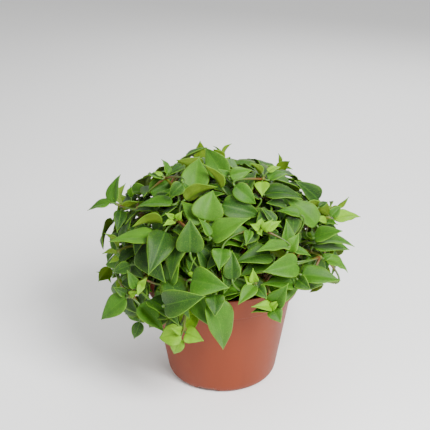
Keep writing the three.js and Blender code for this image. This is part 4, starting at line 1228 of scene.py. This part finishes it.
# A value carried smoothly from one span to another
def span(tree, value, low, high, start=0.0, end=1.0):
    return addNode(tree, "MapRange", {"Value": value, "From Min": low, "From Max": high,
                                      "To Min": start, "To Max": end},
                   interpolation_type="SMOOTHSTEP").outputs[0]


# The mix node's sockets for colours: its share, the first and second colour, and its result
mixSockets = (0, 6, 7, 2)


def mixColours(tree, share, first, second):
    *given, result = mixSockets
    made = addNode(tree, "Mix", zip(given, (share, first, second)), data_type="RGBA")
    return made.outputs[result]


# A colour laid over another by a share of a mask
def overlay(tree, colour, over, mask, share):
    return mixColours(tree, times(tree, mask, share), colour, over)


def noise(tree, place, scale, detail=3.0, roughness=0.55):
    return addNode(tree, "TexNoise", {"Vector": place, "Scale": scale, "Detail": detail,
                                      "Roughness": roughness}).outputs[0]


def bump(tree, height, settings):
    return addNode(tree, "Bump", {"Height": height, **settings}).outputs[0]


def attribute(tree, name):
    return addNode(tree, "Attribute", attribute_name=name).outputs["Fac"]


mottleFacts = {
    "inputs": {"Place": "Vector", "Colour": "Color", "Patch Scale": "Float", "Grain Scale": "Float",
               "Amount": "Float"},
    "outputs": {"Colour": "Color", "Height": "Float"},
    "patchShare": 0.65, "grainShare": 0.35, "grainDetail": 2.0,
}


# Shared effect: a colour made lighter and darker in patches of two sizes, with a height for bumps
def makeMottle(facts):
    group = bpy.data.node_groups.new("mottle", "ShaderNodeTree")
    for way, sockets in (("INPUT", facts["inputs"]), ("OUTPUT", facts["outputs"])):
        for label, kind in sockets.items():
            group.interface.new_socket(label, in_out=way, socket_type="NodeSocket" + kind)
    given = group.nodes.new("NodeGroupInput").outputs
    patches = noise(group, given["Place"], given["Patch Scale"])
    grain = noise(group, given["Place"], given["Grain Scale"], facts["grainDetail"])
    both = plus(group, times(group, patches, facts["patchShare"]),
                times(group, grain, facts["grainShare"]))
    swing = times(group, minus(group, both, 0.5), given["Amount"])
    bright = plus(group, times(group, swing, 2.0), 1.0)
    shaded = addNode(group, "HueSaturation", {"Color": given["Colour"], "Value": bright}).outputs[0]
    ends = group.nodes.new("NodeGroupOutput")
    feed(group, ends.inputs, {"Colour": shaded, "Height": both})
    return group


mottle = makeMottle(mottleFacts)


def mottled(tree, place, colour, patch, grain, amount):
    return addNode(tree, "Group", {"Place": place, "Colour": colour, "Patch Scale": patch,
                                   "Grain Scale": grain, "Amount": amount}, node_tree=mottle).outputs


def newMaterial(name):
    material = bpy.data.materials.new(name)
    material.use_nodes = True
    tree = material.node_tree
    tree.nodes.clear()
    surface = addNode(tree, "BsdfPrincipled")
    tree.links.new(surface.outputs[0], addNode(tree, "OutputMaterial").inputs[0])
    return material, tree, surface.inputs


def objectPlace(tree):
    return addNode(tree, "TexCoord").outputs["Object"]


# Leaf colours, the share that each is laid on by, and the span of tone, of the way across the
# blade or of millimetres over which it comes in. The bluish pale green is a painted highlight, and
# the old green is old leaves' colour and also painted shade
leafPaint = {
    "young": paint(112, 160, 2), "grown": paint(46, 90, 4), "oldAndShadedGreen": paint(22, 55, 3),
    "youngTones": (0.1, 0.6), "oldAndShadedTones": (0.6, 1.0), "highlightGreen": paint(66, 110, 22),
    "underside": paint(86, 108, 14), "undersideShare": 0.8,
    "margin": paint(94, 138, 28), "marginWash": (0.35, 1.0), "washShare": 0.16,
    "marginLine": (0.21, 0.6, 1.0, 0.0), "lineShare": 0.75,
    "midrib": paint(72, 118, 22), "ribWidth": (0.15, 0.6, 1.0, 0.0),
    "ribLength": (0.45, 0.95, 1.0, 0.2), "ribShare": 0.4,
    "veins": (0.36, 0.7), "veinWidth": (0.0, 0.06, 1.0, 0.0), "veinShare": 0.05, "veinDepth": -0.22,
    "hair": paint(118, 152, 40), "hairNoise": (1500.0, 2.0), "hairs": (0.52, 0.72),
    "hairShare": 0.24, "hairHeight": 0.2, "mottle": (130.0, 900.0, 0.55), "mottleHeight": 0.7,
    "roughness": 0.48, "duller": 0.16, "relief": {"Strength": 0.5, "Distance": 0.0004},
    "surface": {"Subsurface Weight": 0.2, "Subsurface Radius": (0.5, 1.0, 0.15),
                "Subsurface Scale": 0.0016, "Specular IOR Level": 0.26, "Sheen Weight": 0.03,
                "Sheen Roughness": 0.45},
}


# Fleshy leaf: tone runs from young lime to old dark green, which also stands for painted shade,
# a bluish pale green laid on by its share is a painted highlight, the blade lightens towards its
# margin, a pale line runs round it, the midrib and four bowed veins show faintly, and the underside
# is dull. Fine pale specks and a weak sheen stand for the short hairs
def leafMaterial(facts):
    material, tree, shader = newMaterial("peperomiaLeaf")
    place = objectPlace(tree)
    surface = addNode(tree, "UVMap", uv_map="surface").outputs[0]
    split = addNode(tree, "SeparateXYZ", {0: surface}).outputs
    aside = calc(tree, "ABSOLUTE", minus(tree, times(tree, split[0], 2.0), 1.0))
    half, under, tone, pale = (attribute(tree, name)
                               for name in ("halfWidth", "underside", "tone", "pale"))
    body = mixColours(tree, span(tree, tone, *facts["youngTones"]), facts["young"], facts["grown"])
    # The old green: old leaves' colour, and painted shade on leaves given the dark look
    body = mixColours(tree, span(tree, tone, *facts["oldAndShadedTones"]), body, facts["oldAndShadedGreen"])
    # Painted highlight: a bluish pale green laid on by each leaf's share
    body = mixColours(tree, pale, body, facts["highlightGreen"])
    wash = span(tree, aside, *facts["marginWash"])
    rib = times(tree, span(tree, times(tree, aside, half), *facts["ribWidth"]),
                span(tree, split[1], *facts["ribLength"]))
    veins = calc(tree, "MAXIMUM", *(
        span(tree, calc(tree, "ABSOLUTE", minus(tree, aside, bow)), *facts["veinWidth"])
        for bow in facts["veins"]))
    line = span(tree, times(tree, minus(tree, 1.0, aside), half), *facts["marginLine"])
    hairs = span(tree, noise(tree, place, *facts["hairNoise"]), *facts["hairs"])
    for over, mask, share in (("margin", wash, "washShare"), ("underside", under, "undersideShare"),
                              ("midrib", rib, "ribShare"), ("midrib", veins, "veinShare"),
                              ("margin", line, "lineShare"), ("hair", hairs, "hairShare")):
        body = overlay(tree, body, facts[over], mask, facts[share])
    patches = mottled(tree, place, body, *facts["mottle"])
    rough = plus(tree, facts["roughness"], times(tree, patches["Height"], facts["duller"]))
    relief = plus(tree, times(tree, patches["Height"], facts["mottleHeight"]),
                  times(tree, hairs, facts["hairHeight"]))
    relief = plus(tree, times(tree, veins, facts["veinDepth"]), relief)
    feed(tree, shader, {
        "Base Color": patches["Colour"], "Normal": bump(tree, relief, facts["relief"]),
        "Roughness": plus(tree, times(tree, under, facts["duller"]), rough), **facts["surface"],
    })
    return material


stemPaint = {
    "base": paint(68, 30, 13), "middle": paint(84, 48, 16), "tip": paint(86, 98, 18),
    "stalkFoot": paint(92, 56, 18), "stalkTop": paint(62, 96, 14),
    "middleShare": (0.05, 0.5), "tipShare": (0.5, 0.98), "stalkStart": (0.995, 1.01),
    "stalkShare": (1.0, 1.5), "mottle": (260.0, 1300.0, 0.3),
    "relief": {"Strength": 0.3, "Distance": 0.0003},
    "surface": {"Roughness": 0.5, "Subsurface Weight": 0.12, "Subsurface Scale": 0.0012},
}


# Stems run from red-brown at the soil to green at the tip, and stalks from tan to light green
def stemMaterial(facts):
    material, tree, shader = newMaterial("peperomiaStem")
    young = attribute(tree, "young")
    colour = mixColours(tree, span(tree, young, *facts["middleShare"]), facts["base"], facts["middle"])
    colour = mixColours(tree, span(tree, young, *facts["tipShare"]), colour, facts["tip"])
    stalk = mixColours(tree, span(tree, young, *facts["stalkShare"]), facts["stalkFoot"],
                       facts["stalkTop"])
    colour = mixColours(tree, span(tree, young, *facts["stalkStart"]), colour, stalk)
    patches = mottled(tree, objectPlace(tree), colour, *facts["mottle"])
    feed(tree, shader, {
        "Base Color": patches["Colour"], "Normal": bump(tree, patches["Height"], facts["relief"]),
        **facts["surface"],
    })
    return material


# The streaks are stretched upright; the haze falls off over the lowest 60 mm
potPaint = {
    "body": paint(117, 50, 23), "dull": paint(101, 46, 24), "lime": paint(138, 88, 60),
    "streakStretch": (1.0, 1.0, 0.06), "streaks": (70.0, 3.0), "hazy": (0.42, 0.72),
    "hazeFall": (0.0, 0.06, 0.32, 0.1), "scuffs": (46.0, 6.0, 0.7), "scuffed": (0.6, 0.78),
    "scuffShare": 0.16, "mottle": (22.0, 1400.0, 0.1), "roughness": 0.44, "duller": 0.16,
    "grain": (1800.0, 2.0), "grainRelief": {"Strength": 0.12, "Distance": 0.0002},
    "streakRelief": {"Strength": 0.1, "Distance": 0.0006},
    "surface": {"Specular IOR Level": 0.3, "Subsurface Weight": 0.06,
                "Subsurface Radius": (1.0, 0.4, 0.25), "Subsurface Scale": 0.0015},
}


# Moulded terracotta-coloured plastic: broad soft patches, a fine grain, a dull haze near the foot,
# pale scuffs and faint upright flow streaks
def potMaterial(facts):
    material, tree, shader = newMaterial("terracottaPlastic")
    place = objectPlace(tree)
    rise = addNode(tree, "SeparateXYZ", {0: place}).outputs[2]
    stretched = addNode(tree, "Mapping", {"Vector": place, "Scale": facts["streakStretch"]}).outputs[0]
    streak = noise(tree, stretched, *facts["streaks"])
    haze = times(tree, span(tree, streak, *facts["hazy"]), span(tree, rise, *facts["hazeFall"]))
    body = mixColours(tree, haze, facts["body"], facts["dull"])
    scuffs = noise(tree, place, *facts["scuffs"])
    body = overlay(tree, body, facts["lime"], span(tree, scuffs, *facts["scuffed"]),
                   facts["scuffShare"])
    patches = mottled(tree, place, body, *facts["mottle"])
    streaky = bump(tree, streak, facts["streakRelief"])
    grainy = bump(tree, noise(tree, place, *facts["grain"]), {**facts["grainRelief"], "Normal": streaky})
    feed(tree, shader, {
        "Base Color": patches["Colour"], "Normal": grainy,
        "Roughness": plus(tree, facts["roughness"], times(tree, scuffs, facts["duller"])),
        **facts["surface"],
    })
    return material


soilPaint = {
    "peat": paint(34, 25, 15), "fibre": paint(66, 48, 28), "fibres": (420.0, 6.0, 0.7),
    "fibrous": (0.56, 0.72), "mottle": (160.0, 1500.0, 0.6),
    "relief": {"Strength": 0.7, "Distance": 0.0012}, "surface": {"Roughness": 0.92},
}


# Damp peat: near-black ground with paler fibres and a coarse bump
def soilMaterial(facts):
    material, tree, shader = newMaterial("dampPeat")
    place = objectPlace(tree)
    fibres = span(tree, noise(tree, place, *facts["fibres"]), *facts["fibrous"])
    ground = mixColours(tree, fibres, facts["peat"], facts["fibre"])
    patches = mottled(tree, place, ground, *facts["mottle"])
    feed(tree, shader, {
        "Base Color": patches["Colour"], "Normal": bump(tree, patches["Height"], facts["relief"]),
        **facts["surface"],
    })
    return material


leafLook = leafMaterial(leafPaint)
stemLook = stemMaterial(stemPaint)
potLook = potMaterial(potPaint)
soilLook = soilMaterial(soilPaint)
print("materials made")


# Each stem's leaves and its stalks stand for that stem's node
def dressStems():
    random = np.random.default_rng(leafShape["seed"])
    for stem in stems:
        number, leaves = f"{stem['number']:02d}", stem["leaves"]
        blades = leafBlades(f"leaves_{number}", leaves, leafShape["grid"], random, leafLook)
        stalks = stemPiece(f"stem_{number}", [stemTube(stem, leaves), stalkTubes(leaves)], stemLook)
        for piece in (blades, stalks):
            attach(piece, "root")
            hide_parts(f"leafy_stem_{number}")
    # All inner leaves take the dark look: painted shade deep in the mound
    inner = [{**leaf, "look": "dark"} for stem in stems for leaf in stem["inner"]]
    blades = leafBlades("inner_leaves", inner, innerFacts["grid"], random, leafLook)
    stalks = stemPiece("inner_stalks", [stalkTubes(inner)], stemLook)
    for piece in (blades, stalks):
        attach(piece, "root")
    print("stems and leaves dressed")


dressStems()

pot = makePot(potFacts, potShape, potLook)
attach(pot, "root")
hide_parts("pot")
soilRandom = np.random.default_rng(soilShape["seed"])
for piece in (makeSoil(soilFacts, soilShape, soilRandom, soilLook),
              makeCrumbs(soilFacts, crumbShape, soilRandom, soilLook)):
    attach(piece, "root")
    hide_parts("soil")
print("pot and soil made")

stageFacts = {
    "floorHalf": 20000.0, "floor": {"Base Color": paint(250, 250, 249), "Roughness": 0.9},
    "world": {"Color": (1.0, 1.0, 1.0, 1.0), "Strength": 0.58},
    "lamps": {
        "key": {"place": (420, -620, 760), "aim": (0, 0, 90), "size": 0.42, "power": 24.0},
        "fill": {"place": (-700, -420, 640), "aim": (0, 0, 90), "size": 0.7, "power": 2.6},
        "back": {"place": (260, 700, 640), "aim": (0, 0, 110), "size": 0.8, "power": 5.0},
    },
}


def makeStage(facts):
    material, tree, shader = newMaterial("paleFloor")
    feed(tree, shader, facts["floor"])
    half = facts["floorHalf"]
    corners = np.array([[-half, -half, 0], [half, -half, 0], [half, half, 0], [-half, half, 0]])
    meshPiece("studio_floor", corners, np.array([[0, 1, 2, 3]]), noFaces, material)
    world = bpy.data.worlds.new("studioAir")
    bpy.context.scene.world = world
    world.use_nodes = True
    feed(world.node_tree, world.node_tree.nodes["Background"].inputs, facts["world"])
    for name, lamp in facts["lamps"].items():
        light = bpy.data.lights.new(name, "AREA")
        light.size, light.energy = lamp["size"], lamp["power"]
        holder = bpy.data.objects.new(name, light)
        holder.location = Vector(lamp["place"]) * mm
        towards = (Vector(lamp["aim"]) - Vector(lamp["place"])).normalized()
        holder.rotation_euler = towards.to_track_quat("-Z", "Y").to_euler()
        bpy.context.scene.collection.objects.link(holder)


makeStage(stageFacts)
print("stage set")
